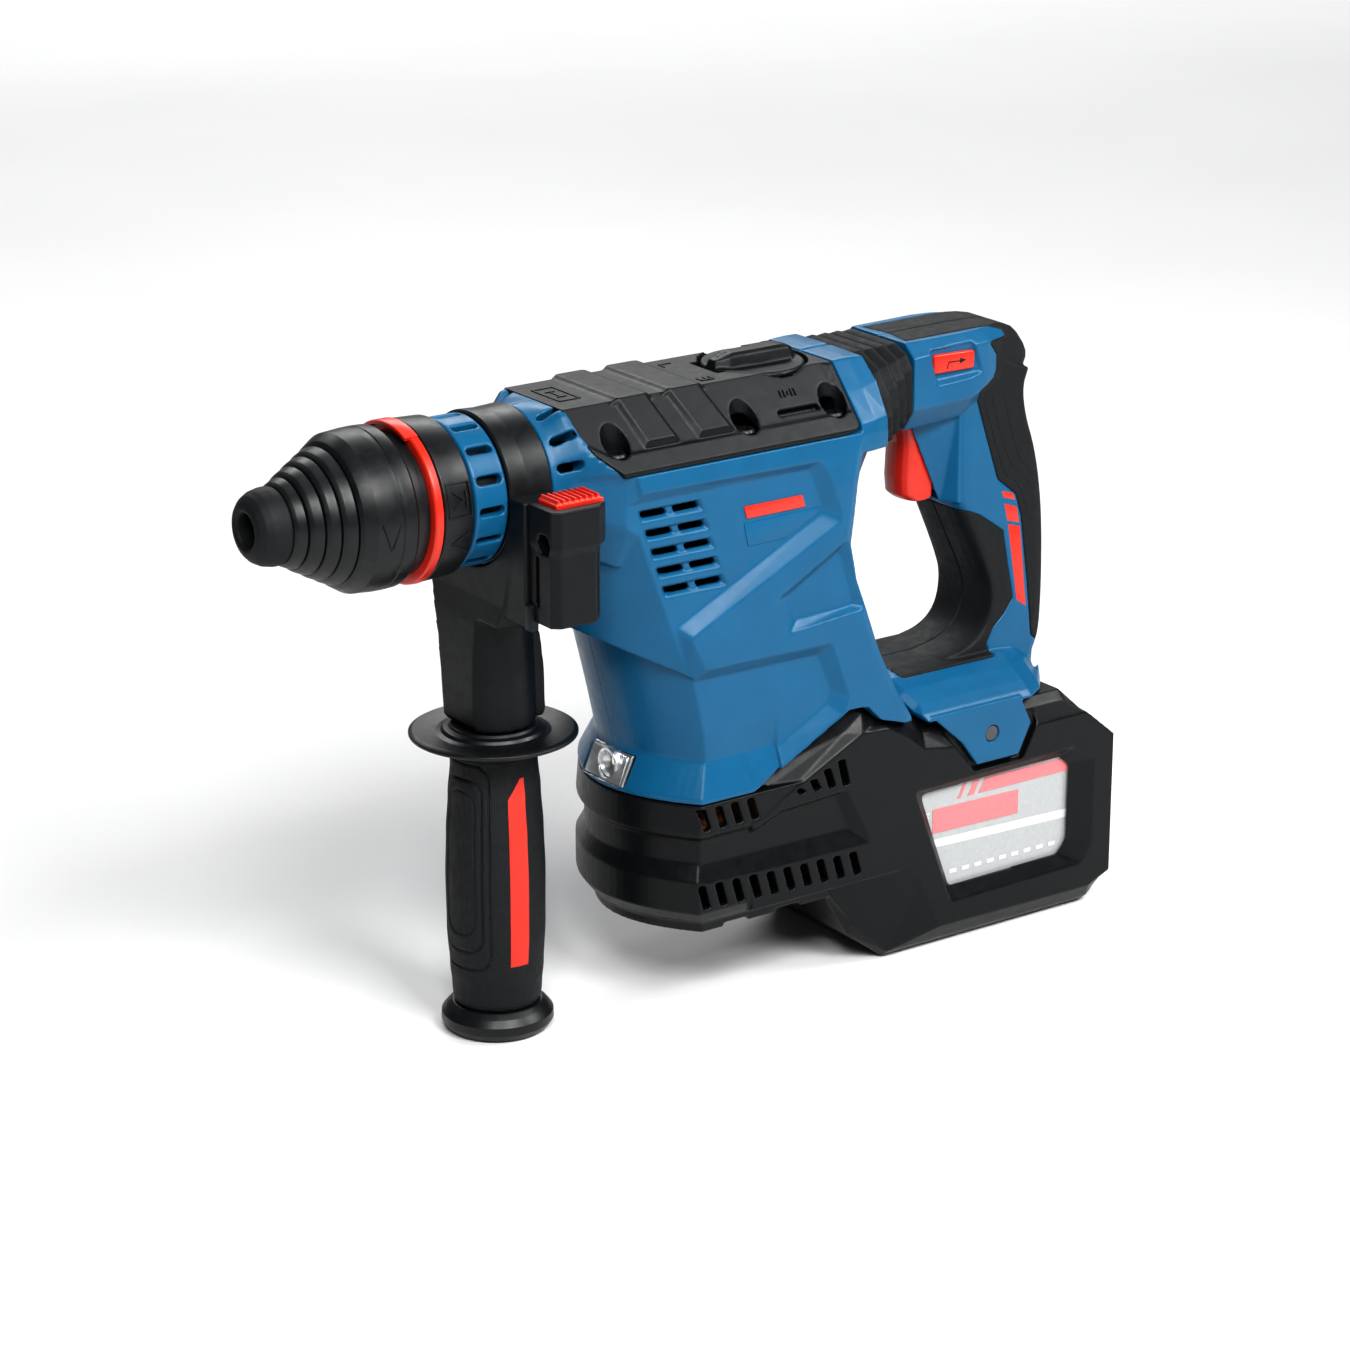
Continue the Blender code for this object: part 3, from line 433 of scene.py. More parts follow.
# ------------------------------------------------------------------ chuck and neck
def build_chuck():
    cap = rounded([(12.6, 6.6), (3.2, 5.9), (0.9, 6.0), (0.0, 7.6), (0.9, 9.9), (2.6, 11.7), (5.2, 13.1),
                   (8.6, 13.8), (11.2, 13.8), (12.6, 12.6)], 1.6, 4)
    made(smoothed(mesh_object([turned("X", 0, 0, cap)])), "dust_cap_dome", "rubber", "spindle", "dust_cap")
    lips = [(7.0 + 2.2 * i, 5.95) for i in range(3)]
    made(smoothed(mesh_object([turned("X", 0, 0, rounded([(x, 5.2), (x + 0.9, 5.2), (x + 0.9, 6.9), (x, 6.9)], 0.3))
                               for x, _ in lips])), "bore_lips", "rubber", "spindle")

    outer = [(11.9, 12.6)]
    for x0, x1, low, high in ((11.9, 16.6, 14.3, 16.0), (16.6, 21.6, 17.1, 18.9), (21.6, 26.4, 19.9, 21.6),
                              (26.4, 31.6, 22.5, 24.3)):
        outer += [(x0, low - 0.6), (x0 + 1.3, low + 0.4), (x1 - 0.7, high), (x1 - 0.35, high - 0.5),
                  (x1 - 0.35, high - 1.9)]
    outer += [(31.6, 24.4), (32.6, 25.7), (36.6, 28.2), (44.0, 28.8), (46.2, 28.85), (46.4, 28.6), (46.8, 28.6),
              (47.0, 28.9), (51.8, 28.7), (53.0, 27.6), (53.0, 26.2), (36.0, 26.0), (15.0, 13.4)]
    made(smoothed(mesh_object([turned("X", 0, 0, rounded(outer, 0.55, 2), 144)]), 50), "chuck_sleeve", "satin",
         "locking_sleeve", "locking_sleeve")

    liner = [(48.0, 24.2), (48.0, 25.6), (58.6, 25.6), (58.6, 24.2)]
    made(smoothed(mesh_object([turned("X", 0, 0, liner)])), "sleeve_liner", "satin", "spindle")

    ring = rounded([(62.3, 28.0), (63.0, 29.0), (74.2, 28.5), (75.0, 27.7), (75.0, 21.0), (62.3, 21.0)], 0.5)
    made(smoothed(mesh_object([turned("X", 0, 0, ring)])), "lock_ring", "satin", "change_ring", "change_ring")
    stripe = rounded([(58.8, 28.4), (59.3, 29.1), (61.7, 29.3), (62.1, 28.8), (62.1, 24.6), (58.8, 24.6)], 0.3)
    flag = [wrapped_plate([(56.9, 64), (62.0, 64), (62.0, 132), (60.4, 138), (56.9, 138)], 28.0, 29.45)]
    made(smoothed(mesh_object([turned("X", 0, 0, stripe)] + flag)), "red_ring", "red", "change_ring",
         "red_line_ring")
    frame_lines = [
        [(64.4, 24), (64.4, 0), (73.4, 0), (73.4, 24), (64.4, 24)],
        [(66.4, 18), (70.6, 12), (66.4, 6)], [(71.6, 18), (71.6, 6)],
        [(72.8, -12), (66.0, -20), (72.8, -28)]]
    made(mesh_object([band for line in frame_lines for band in wrapped_lines(line, 28.2, 29.2, 0.6)]),
         "lock_ring_marks", "charcoal", "change_ring")
    arrow = wrapped_lines([(38.2, 4), (41.8, -16), (45.2, 4)], 28.0, 28.95, 0.5)
    made(mesh_object(arrow), "sleeve_arrow", "charcoal", "locking_sleeve")

    neck = rounded([(76.3, 26.2), (77.0, 27.0), (89.0, 27.0), (89.8, 26.4), (89.8, 24.6), (108.2, 24.6),
                    (108.2, 21.3), (76.3, 21.3)], 0.4)
    slots = [slot_cutter(77.9, 88.2, angle) for angle in range(14, 360, 24)]
    made(soften(solid([turned("X", 0, 0, neck, 96)], cut=slots), 0.55, 2), "neck_ring", "blue", "housing",
         "front_housing")
    made(smoothed(mesh_object([turned("X", 0, 0, rounded([(77.0, 21.0), (89.5, 21.0), (89.5, 23.4), (77.0, 23.4)],
                                                         0.2))])), "neck_liner", "black", "housing")


def wrapped_plate(outline, low, high, steps=14):
    """Plate curved round the spindle: outline in (x, degrees from +Y towards the top)."""
    xs = [x for x, _ in outline]
    degrees = [a for _, a in outline]
    rings = []
    for i in range(steps + 1):
        angle = math.radians(min(degrees) + (max(degrees) - min(degrees)) * i / steps)
        front = min(xs)
        rear = max(xs)
        rings.append([(x, -r * math.cos(angle), r * math.sin(angle))
                      for x, r in ((front, low), (rear, low), (rear, high), (front + 0.5, high), (front, high - 0.4))])
    return loft(rings)


def wrapped_lines(line, low, high, width):
    """Raised line round the spindle, through points of (x, degrees)."""
    shells = []
    for (x0, a0), (x1, a1) in zip(line, line[1:]):
        steps = max(1, int(abs(a1 - a0) / 4))
        for i in range(steps):
            ends = []
            for t in (i / steps, (i + 1) / steps):
                ends.append((x0 + (x1 - x0) * t, math.radians(a0 + (a1 - a0) * t)))
            (xa, ra), (xb, rb) = ends
            across = Vector((-(rb - ra) * high, xb - xa)).normalized() * width / 2
            ring = [(xa + across.x, ra + across.y / high), (xb + across.x, rb + across.y / high),
                    (xb - across.x, rb - across.y / high), (xa - across.x, ra - across.y / high)]
            shells.append(loft([[(x, -r * math.cos(a), r * math.sin(a)) for x, a in ring] for r in (low, high)]))
    return shells


def slot_cutter(x0, x1, angle, low=22.0, high=32.0, half=1.55):
    turn = math.radians(angle)
    outline = rounded([(x0, -half), (x1, -half), (x1, half), (x0, half)], half * 0.95, 4)
    rings = []
    for reach in (low, high):
        rings.append([(x, reach * math.cos(turn) - s * math.sin(turn), reach * math.sin(turn) + s * math.cos(turn))
                      for x, s in outline])
    return loft(rings)


# ------------------------------------------------------------------ blue housing
STATIONS = [   # z in the middle, z at the corner, x in the middle, x at the corner, half-width, rear side, rear
    (5.2, 5.2, 118.0, 136.4, 38.4, 240.0, 249.0),
    (-2.0, -2.0, 118.0, 138.0, 39.2, 236.0, 246.5),
    (-12.0, -12.0, 118.6, 140.0, 40.0, 233.5, 241.0),
    (-25.0, -25.0, 120.5, 144.9, 40.0, 232.0, 237.0),
    (-34.0, -36.0, 122.6, 149.3, 40.0, 230.5, 235.5),
    (-43.0, -50.0, 125.0, 154.8, 40.0, 233.5, 238.0),
    (-50.0, -62.0, 126.4, 159.6, 40.0, 238.0, 243.0),
    (-57.0, -77.2, 127.4, 165.6, 40.0, 243.5, 249.0),
    (-58.6, -78.6, 139.2, 165.8, 40.0, 244.0, 249.5),
    (-75.0, -86.0, 143.6, 167.4, 40.0, 247.5, 253.0),
    (-92.0, -96.0, 148.2, 169.4, 40.0, 252.5, 257.5),
    (-107.5, -108.0, 151.6, 172.4, 40.0, 260.0, 264.0),
    (-109.0, -109.0, 151.4, 172.2, 40.0, 260.5, 264.5),
    (-121.4, -121.4, 145.7, 163.2, 40.0, 263.0, 267.0),
    (-123.3, -123.3, 145.9, 163.4, 39.9, 263.0, 267.0),
]
SEAM_LINE = [(110, -123.6), (186, -123.6), (193.7, -119.8), (230.4, -100.2), (238.9, -100.6), (245.7, -107.2),
             (256.7, -110.6), (280, -113.4)]


def housing_ring(station, inset, side_inset):
    z_mid, z_corner, mid, corner, half, rear_side, rear = station
    ring = []
    steps = 14
    reach = half - side_inset
    for i in range(steps + 1):
        s = i / steps
        ring.append((mid + inset + (corner - mid) * s * s, -0.35 + (reach + 0.35) * s,
                     z_mid + (z_corner - z_mid) * s * s))
    ring += [(rear_side - 3.0, reach, z_corner), (rear_side, reach - 1.0, z_corner),
             (rear - 2.0 - inset * 0.8, reach - 7.5, z_corner), (rear - inset, reach - 13.0, z_corner),
             (rear - inset, -0.35, z_corner)]
    return ring


def reach_of(outline, angle):
    """Distance from the spindle axis to a convex outline of (y, z) in one direction."""
    dy, dz = math.cos(angle), math.sin(angle)
    best = 0.0
    for (y0, z0), (y1, z1) in zip(outline, outline[1:] + outline[:1]):
        ey, ez = y1 - y0, z1 - z0
        cross = dy * ez - dz * ey
        if abs(cross) < 1e-9:
            continue
        t = (y0 * ez - z0 * ey) / cross
        u = (y0 * dz - z0 * dy) / cross
        if t > 0 and -1e-6 <= u <= 1 + 1e-6:
            best = max(best, t)
    return best


COVER_EDGE = [(131.4, 38.2, 5.5), (130.6, 38.3, 7.0), (122.6, 32.4, 13.7), (119.2, 27.0, 19.9), (117.8, 20.4, 27.4),
              (117.6, 19.0, 28.0)]
COVER_REAR = 235.2
COVER_SECTION = [(0, 28), (20, 28), (34.0, 11.9), (38.0, 7.2), (38.4, 4.0), (38.6, -14.0), (30.0, -30.0),
                 (0, -34.0)]


def meeting_x(angle):
    """Where the flare reaches the full section: the cover's slanting front edge, then the side."""
    line = [(-90, 128.0), (-30, 135.0), (6, 136.0), (11, 130.0), (24, 122.0), (37, 118.6), (53, 117.2), (91, 117.0)]
    degrees = math.degrees(angle)
    for (a0, x0), (a1, x1) in zip(line, line[1:]):
        if a0 <= degrees <= a1:
            return x0 + (x1 - x0) * (degrees - a0) / (a1 - a0)


def neck_flare():
    """Half of the flare from the round neck out to the body behind the clamp band."""
    rings = []
    target = [(y, z) for y, z in COVER_SECTION] + [(-y, z) for y, z in COVER_SECTION[::-1] if y]
    angles = [math.radians(90 - 3.75 * i) for i in range(49)]
    for x in (108.3, 110.5, 112.5, 114.5, 116.5, 118.5, 120.5, 123.0, 125.5, 128.0, 130.5, 133.0, 137.0):
        ring = []
        for angle in angles:
            share = min(1.0, (x - 108.3) / (meeting_x(angle) - 108.3))
            share = share * share * (1.8 - 0.8 * share)
            reach = (27.2 + 0.1 * min(6.0, x - 108.3)) * (1 - share) + (reach_of(target, angle) - 0.35) * share
            ring.append((x, max(-0.35, reach * math.cos(angle) - 0.35), reach * math.sin(angle)))
        for angle in angles[::-1]:
            ring.append((x, max(-0.35, 23.6 * math.cos(angle) - 0.35), 23.6 * math.sin(angle)))
        rings.append(ring)
    return loft(rings)


def build_housing():
    outer = [housing_ring(s, 0.0, 0.0) for s in STATIONS]
    inner = [housing_ring(s, 2.6, 6.8)[::-1] for s in STATIONS]
    wall = loft([a + b for a, b in zip(outer, inner)])
    inner_rim = [(33, -3), (33, 6), (17, 24), (-0.35, 24)]
    collar = loft([
        [(x, y, z) for y, z in rounded(outline + inner_rim, 2.0)] for x, outline in (
            (235.8, [(-0.35, 28.3), (19.4, 28.3), (28.9, 18.0), (37.7, 8.2), (38.5, 4.6), (38.8, -3)]),
            (242.5, [(-0.35, 28.6), (19.6, 28.6), (29.2, 19.0), (37.2, 8.6), (37.8, 4.4), (38.0, -3)]),
            (249.1, [(-0.35, 28.6), (20.0, 28.4), (29.0, 20.6), (35.8, 9.0), (36.5, 3.6), (36.4, -3)]))])
    pockets = [
        pocket([(112, 0.3), (218, -0.9), (226.6, -25.8), (158.2, -58.6), (164.6, -71.4), (221.8, -72.0),
                (230.4, -95.0), (227.4, -101.6), (189.5, -122.0), (112, -122.0)],
               [(112, -5.4), (213.0, -5.2), (219.6, -22.2), (153.6, -54.6), (160.2, -76.4), (217.6, -76.9),
                (223.9, -91.6), (222.6, -96.6), (199.3, -108.6), (112, -108.6)],
               36.4, [0, 3.5, 3.5, 2.0, 2.0, 3.0, 3.0, 3.0, 6.0, 0]),
        pocket([(195.8, -50.8), (229.4, -32.8), (239.6, -61.8), (201.8, -64.9)],
               [(203.4, -51.2), (226.4, -38.2), (233.2, -60.2), (206.8, -61.2)], 36.9, 2.0),
    ]
    pockets.append(loft([[(x, y, z) for y, z in ((46, -121.9), (40, -121.9), (35.2, -108.6), (36.4, -97.0), (46, -97.0))]
                         for x in (112, 199.3)]))
    vents, slots = [], []
    for row in range(5):
        dx, dz = 10.1 * row / 4, -29.7 * row / 4
        corners = [(136.8 + dx, -7.7 + dz), (164.6 + dx, -8.0 + dz), (166.6 + dx, -12.9 + dz),
                   (138.7 + dx, -12.5 + dz)]
        middle = [(sum(c[0] for c in corners) / 4), sum(c[1] for c in corners) / 4]
        inner_frame = [(middle[0] + (x - middle[0]) * 0.93, middle[1] + (z - middle[1]) * 0.66) for x, z in corners]
        vents.append(pocket(corners, inner_frame, 35.2, 0, 36.5))
        for a, b in ((0.05, 0.45), (0.55, 0.95)):
            slots.append(prism("Y", 28, 42, rounded([
                (corners[0][0] + (corners[1][0] - corners[0][0]) * a + 0.5, corners[0][1] - 1.1),
                (corners[0][0] + (corners[1][0] - corners[0][0]) * b + 0.2, corners[0][1] - 1.2),
                (corners[3][0] + (corners[2][0] - corners[3][0]) * b - 0.2, corners[3][1] + 0.9),
                (corners[3][0] + (corners[2][0] - corners[3][0]) * a + 0.1, corners[3][1] + 0.9)], 0.4)))
    neck_slots = [slot_cutter(110.9, 119.4, a, 22.0, 40.0) for a in (-66, -44, -22, 0, 20, 40, 62)]
    under_seam = prism("Y", -2, 60, SEAM_LINE + [(290, -113), (290, -140), (110, -140)])
    lamp_bay = prism("Y", -2, 12.2, [(140, -110.0), (149.6, -110.0), (155.5, -110.0), (155.5, -121.4),
                                     (140, -121.4)])
    lid = [(x + 0.3, y * 1.03, z + 0.8) for x, y, z in COVER_EDGE]
    lid = [(lid[0][0], lid[0][1], 5.2)] + lid[1:] + [(lid[-1][0], -5, lid[-1][2]), (lid[0][0], -5, 5.2)]
    under_cover = loft([lid, [(COVER_REAR + 0.3, y, z) for _, y, z in lid]])
    half = solid([wall], add=[neck_flare(), collar], cut=[under_cover] + [rod("X", 100, 139, 0, 0, 23.6, 64)] + pockets
                 + vents + slots + neck_slots + [under_seam, lamp_bay])
    soften(half)
    other = reflected(half)
    made(half, "body_left", "blue", "housing", "housing_left")
    made(other, "body_right", "blue", "housing", "housing_right")
    bars = [(183.4, -14.2), (209.6, -14.2), (211.0, -18.8), (184.8, -18.8)]
    made(bevelled(mesh_object([prism("Y", -36.95, -36.0, rounded(bars, 0.3, 2))]), 0.12, 2), "side_stripe", "red",
         "housing")
    plate = [(183.6, -20.6), (217.4, -20.2), (217.8, -21.8), (202.4, -29.2), (185.6, -29.4)]
    made(bevelled(mesh_object([prism("Y", -36.75, -36.0, rounded(plate, 0.5, 2))]), 0.12, 2), "side_plate", "blue",
         "housing")
    build_lamp()


def build_lamp():
    lens = loft([[(x + (z + 115.6) * 0.44, y, z) for y, z in
                  ((-11.6, -121.0), (11.6, -121.0), (11.6, -110.4), (-11.6, -110.4))] for x in (147.2, 148.2)])
    made(bevelled(mesh_object([lens]), 0.25), "lamp_window", "lens", "housing", "lamp_lens")
    bowl = rounded([(148.6, 4.9), (150.0, 4.4), (151.8, 2.6), (152.4, 1.5), (153.4, 1.5), (153.4, 6.0),
                    (148.6, 6.0)], 0.3)
    tray = loft([[(x + (z + 115.6) * 0.44, y, z) for y, z in
                  ((-11.8, -121.2), (11.8, -121.2), (11.8, -110.2), (-11.8, -110.2))] for x in (149.3, 150.6)])
    item = solid([tray], cut=[rod("X", 140, 160, 0, -115.6, 5.2)])
    bowl_item = mesh_object([turned("X", 0, -115.6, bowl, 64)])
    bpy.context.view_layer.update()
    item = joined(bevelled(item, 0.2), smoothed(bowl_item))
    made(item, "lamp_bowl", "mirror", "housing", "lamp_reflector")
    made(bevelled(mesh_object([box(151.6, 152.9, -1.35, 1.35, -116.95, -114.25)]), 0.3), "lamp_chip", "led",
         "housing")


def joined(first, *others):
    """One object from several, keeping the first."""
    edit = bmesh.new()
    for item in (first, *others):
        edit.from_mesh(item.data)
    mesh = bpy.data.meshes.new("shape")
    edit.to_mesh(mesh)
    edit.free()
    first.data = mesh
    for item in others:
        bpy.data.objects.remove(item)
    mesh.shade_smooth()
    mesh.set_sharp_from_angle(angle=math.radians(40))
    return first


# ------------------------------------------------------------------ gear cover and knob
def on_facet(x, v, h, side=1):
    """A point on the cover's sloping side: v up the slope from its lower edge, h off it."""
    return (x, side * (38.0 - 0.669 * v + 0.743 * h), 8.0 + 0.743 * v + 0.669 * h)


def facet_pad(lower, upper, side):
    """Solid between an outline and a smaller one on the facet: lists of (x, v, h)."""
    return loft([[on_facet(x, v, h, side) for x, v, h in lower], [on_facet(x, v, h, side) for x, v, h in upper]])


def build_cover():
    edge = COVER_EDGE + [(x, -y, z) for x, y, z in COVER_EDGE[::-1]]
    shell = loft([edge, [(COVER_REAR, y, z) for _, y, z in edge]])
    cavity = loft([[(x, y, z) for y, z in ((-35.0, 5.0), (-35.0, 6.6), (-17.0, 22.0), (17.0, 22.0), (35.0, 6.6),
                                           (35.0, 5.0))] for x in (138, 232.5)])
    bosses, holes, recess, ribs, corners = [], [], [], [], []
    for side in (1, -1):
        recess.append(facet_pad([(129, 6.6, -1.1), (234.0, 6.6, -1.1), (231.0, 30.0, -1.1), (100, 30.0, -1.1)],
                                [(126, 4.6, 4.0), (238, 4.6, 4.0), (236, 34.0, 4.0), (100, 34.0, 4.0)], side))
        for x0, x1, x2, x3 in ((138.6, 153.7, 143.4, 159.2), (160.7, 176.7, 166.6, 183.0)):
            ribs.append(facet_pad([(x2 - 0.8, 6.6, -1.6), (x3 + 0.6, 6.6, -1.6), (x1 + 0.2, 27.6, -1.6),
                                   (x0 - 0.4, 27.6, -1.6)],
                                  [(x2 + 1.7, 9.4, 0.85), (x3 - 2.6, 9.4, 0.85), (x1 - 1.9, 27.4, 0.85),
                                   (x0 + 2.4, 27.4, 0.85)], side))
        for x in (133.0, 189.0, 228.6):
            bosses.append(rod("Z", 6.0, 10.2, x, 29 * side, 6.6, 40))
            holes.append(rod("Z", 8.4, 42.0, x, 29 * side, 5.2, 40))
        corners.append(prism("Y", min(31 * side, 45 * side), max(31 * side, 45 * side),
                             [(229.0, 4.0)] + [(229.0 + 9.5 * math.sin(a), 15.0 - 9.5 * math.cos(a))
                                               for a in [math.radians(d) for d in range(0, 91, 15)]]
                             + [(246, 15.0), (246, 4.0)]))
    for x0, x1 in ((138.6, 153.7), (160.7, 176.7)):
        ribs.append(loft([[(x0 - 1.2, y, 27.0), (x1 + 1.6, y, 27.0), (x1 - 0.8, y, 29.2), (x0 + 2.0, y, 29.2)]
                          for y in (-19.8, 19.8)]))
    bed = [rod("Z", 24.4, 34, KNOB_X, 0, 20.2, 72), rod("Z", 10, 40, KNOB_X, 0, 8.0, 48),
           prism("Y", -9.0, 9.0, [(190.5, 30), (193.5, 25.6), (214, 24.4), (214, 34), (190.5, 34)])]
    sides = [facet_pad([(204, 10.0, -4.0), (222, 10.0, -4.0), (222, 12.2, -4.0), (204, 12.2, -4.0)],
                       [(203.6, 9.7, 3.0), (222.4, 9.7, 3.0), (222.4, 12.5, 3.0), (203.6, 12.5, 3.0)], side)
             for side in (1, -1)]
    cover = solid([shell], cut=recess)
    boolean(cover, ribs, "UNION")
    boolean(cover, [cavity], "DIFFERENCE")
    boolean(cover, bosses, "UNION")
    boolean(cover, holes + bed + sides + corners, "DIFFERENCE")
    made(soften(cover, 0.5, 2), "top_cover", "charcoal", "housing", "gear_cover")

    screws = []
    for x in (133.0, 189.0, 228.6):
        for y in (-29, 29):
            head = solid([turned("Z", x, y, rounded([(8.7, 0.0), (12.4, 0.0), (12.4, 3.4), (11.4, 4.1), (8.7, 4.1)],
                                                    0.4), 32)], cut=[prism("Z", 10.6, 14, star(x, y, 2.3, 1.7))])
            screws.append(head)
    made(joined(*screws), "cover_screws", "satin", "housing")
    marks = []
    for side in (1, -1):
        marks += [facet_pad([(x, v, -1.0), (x + 0.5, v, -1.0), (x + 0.5, v + w, -1.0), (x, v + w, -1.0)],
                            [(x, v, -0.5), (x + 0.5, v, -0.5), (x + 0.5, v + w, -0.5), (x, v + w, -0.5)], side)
                  for x, v, w in ((208, 17, 3), (209.6, 17, 3), (211.2, 17.6, 1.6), (212.8, 17, 3), (214.4, 17, 3))]
    for x0, x1, y0, y1 in ((123, 132, -9, -8.5), (123, 132, 8.5, 9), (123, 123.5, -9, 9), (131.5, 132, -9, 9),
                           (125.5, 129.5, -4, -3.5), (125.5, 129.5, 3.5, 4), (127, 127.5, -4, 4),
                           (180.5, 186, -15, -14.5), (180.5, 181, -15, -11), (183.2, 183.7, -15, -11),
                           (185.5, 186, -15, -11), (180.5, 186, 12, 12.5), (180.5, 181, 8.5, 12.5)):
        marks.append(box(x0, x1, y0, y1, 27.4, 28.32))
    made(mesh_object(marks), "cover_marks", "charcoal", "housing")

    disc = rounded([(25.0, 8.2), (25.0, 19.0), (26.6, 19.6), (27.8, 18.6), (27.2, 14.0), (27.0, 0.0), (22.0, 0.0),
                    (22.0, 7.6)], 0.5)
    bar = loft([
        rounded([(194.5, -3.0, 26.4), (200, -5.4, 26.4), (228, -6.4, 26.4), (231.6, -3.0, 26.4), (231.6, 3.0, 26.4),
                 (228, 6.4, 26.4), (200, 5.4, 26.4), (194.5, 3.0, 26.4)], 1.0),
        rounded([(195.5, -2.2, 30.4), (201, -4.0, 31.4), (227, -4.6, 31.6), (230.0, -2.4, 31.0), (230.0, 2.4, 31.0),
                 (227, 4.6, 31.6), (201, 4.0, 31.4), (195.5, 2.2, 30.4)], 1.0),
        rounded([(197.5, -1.2, 31.0), (203, -2.6, 32.6), (225, -3.0, 32.8), (227.6, -1.4, 32.2), (227.6, 1.4, 32.2),
                 (225, 3.0, 32.8), (203, 2.6, 32.6), (197.5, 1.2, 31.0)], 1.0)])
    knob = solid([turned("Z", KNOB_X, 0, disc, 96)], add=[bar], cut=[
        prism("Z", 30.6, 34, [(196.4, -0.35), (202.5, -0.35), (202.5, 0.35), (196.4, 0.35)])])
    made(soften(knob, 0.5, 3), "mode_dial", "charcoal", "mode_knob", "mode_knob")


def star(cx, cy, long, short):
    return [(cx + (long if i % 2 else short) * math.cos(math.pi * i / 6),
             cy + (long if i % 2 else short) * math.sin(math.pi * i / 6)) for i in range(12)]


# ------------------------------------------------------------------ bellows
def build_bellows():
    front = [(14, 28.2), (26.2, 22.8), (33.0, 14.5), (35.4, 7.0), (35.0, -1.5), (26.0, -5.5), (12.0, -6.0)]
    rear = [(12.5, 28.2), (18.6, 25.4), (21.6, 21.4), (21.8, 14.0), (21.8, 5.0), (17.6, -1.5), (9.0, -5.0)]
    rings = []
    first, last, folds = 249.2, 272.2, 4
    for i in range(folds * 4 + 1):
        along = i / (folds * 4)
        phase = (i % 4)
        puff = (-1.9, -0.2, 1.3, 0.3)[phase]
        base = [(a[0] + (b[0] - a[0]) * along, a[1] + (b[1] - a[1]) * along) for a, b in zip(front, rear)]
        ring = base + [(-y, z) for y, z in base[::-1]]
        out = []
        for y, z in ring:
            away = Vector((y, z - 11.0))
            move = away.normalized() * puff
            lean = (0.0, 1.0, 1.35, 1.7)[phase] * 0.2
            out.append((first + (last - first) * along + lean - 0.02 * (z - 10), y + move.x,
                        min(28.6, z + move.y)))
        rings.append(out)
    inner = [[(x, y * 0.62, 11 + (z - 11) * 0.62) for x, y, z in ring] for ring in (rings[-1], rings[0])]
    item = soften(mesh_object([loft(rings + inner, closed=True)]), 0.5, 2)
    item.name = item.data.name = "bellows_folds"
    item.data.materials.clear()
    item.data.materials.append(LOOKS["rubber"])
    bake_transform(item)
    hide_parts("bellows")


# ------------------------------------------------------------------ rear handle
REAR_LINE = [(272.3, 28.6), (301, 29.2), (319, 29), (328.4, 26.4), (334, 20), (334.5, 10), (331.5, 3),
             (333.5, -8), (339.5, -22), (343.4, -40), (345.2, -60), (345.5, -84)]
FRONT_LINE = [(290, -98.8), (302, -97.4), (311, -93.0), (315.6, -86.0), (316.6, -76), (313.5, -68), (308.6, -58),
              (304.6, -50), (301.4, -43.5), (298.8, -38)]


def smooth_line(points, rounds=2):
    """Corner-cut an open line so that it bends softly."""
    for _ in range(rounds):
        cut = [points[0]]
        for a, b in zip(points, points[1:]):
            cut += [(a[0] * 0.75 + b[0] * 0.25, a[1] * 0.75 + b[1] * 0.25),
                    (a[0] * 0.25 + b[0] * 0.75, a[1] * 0.25 + b[1] * 0.75)]
        points = cut + [points[-1]]
    return points


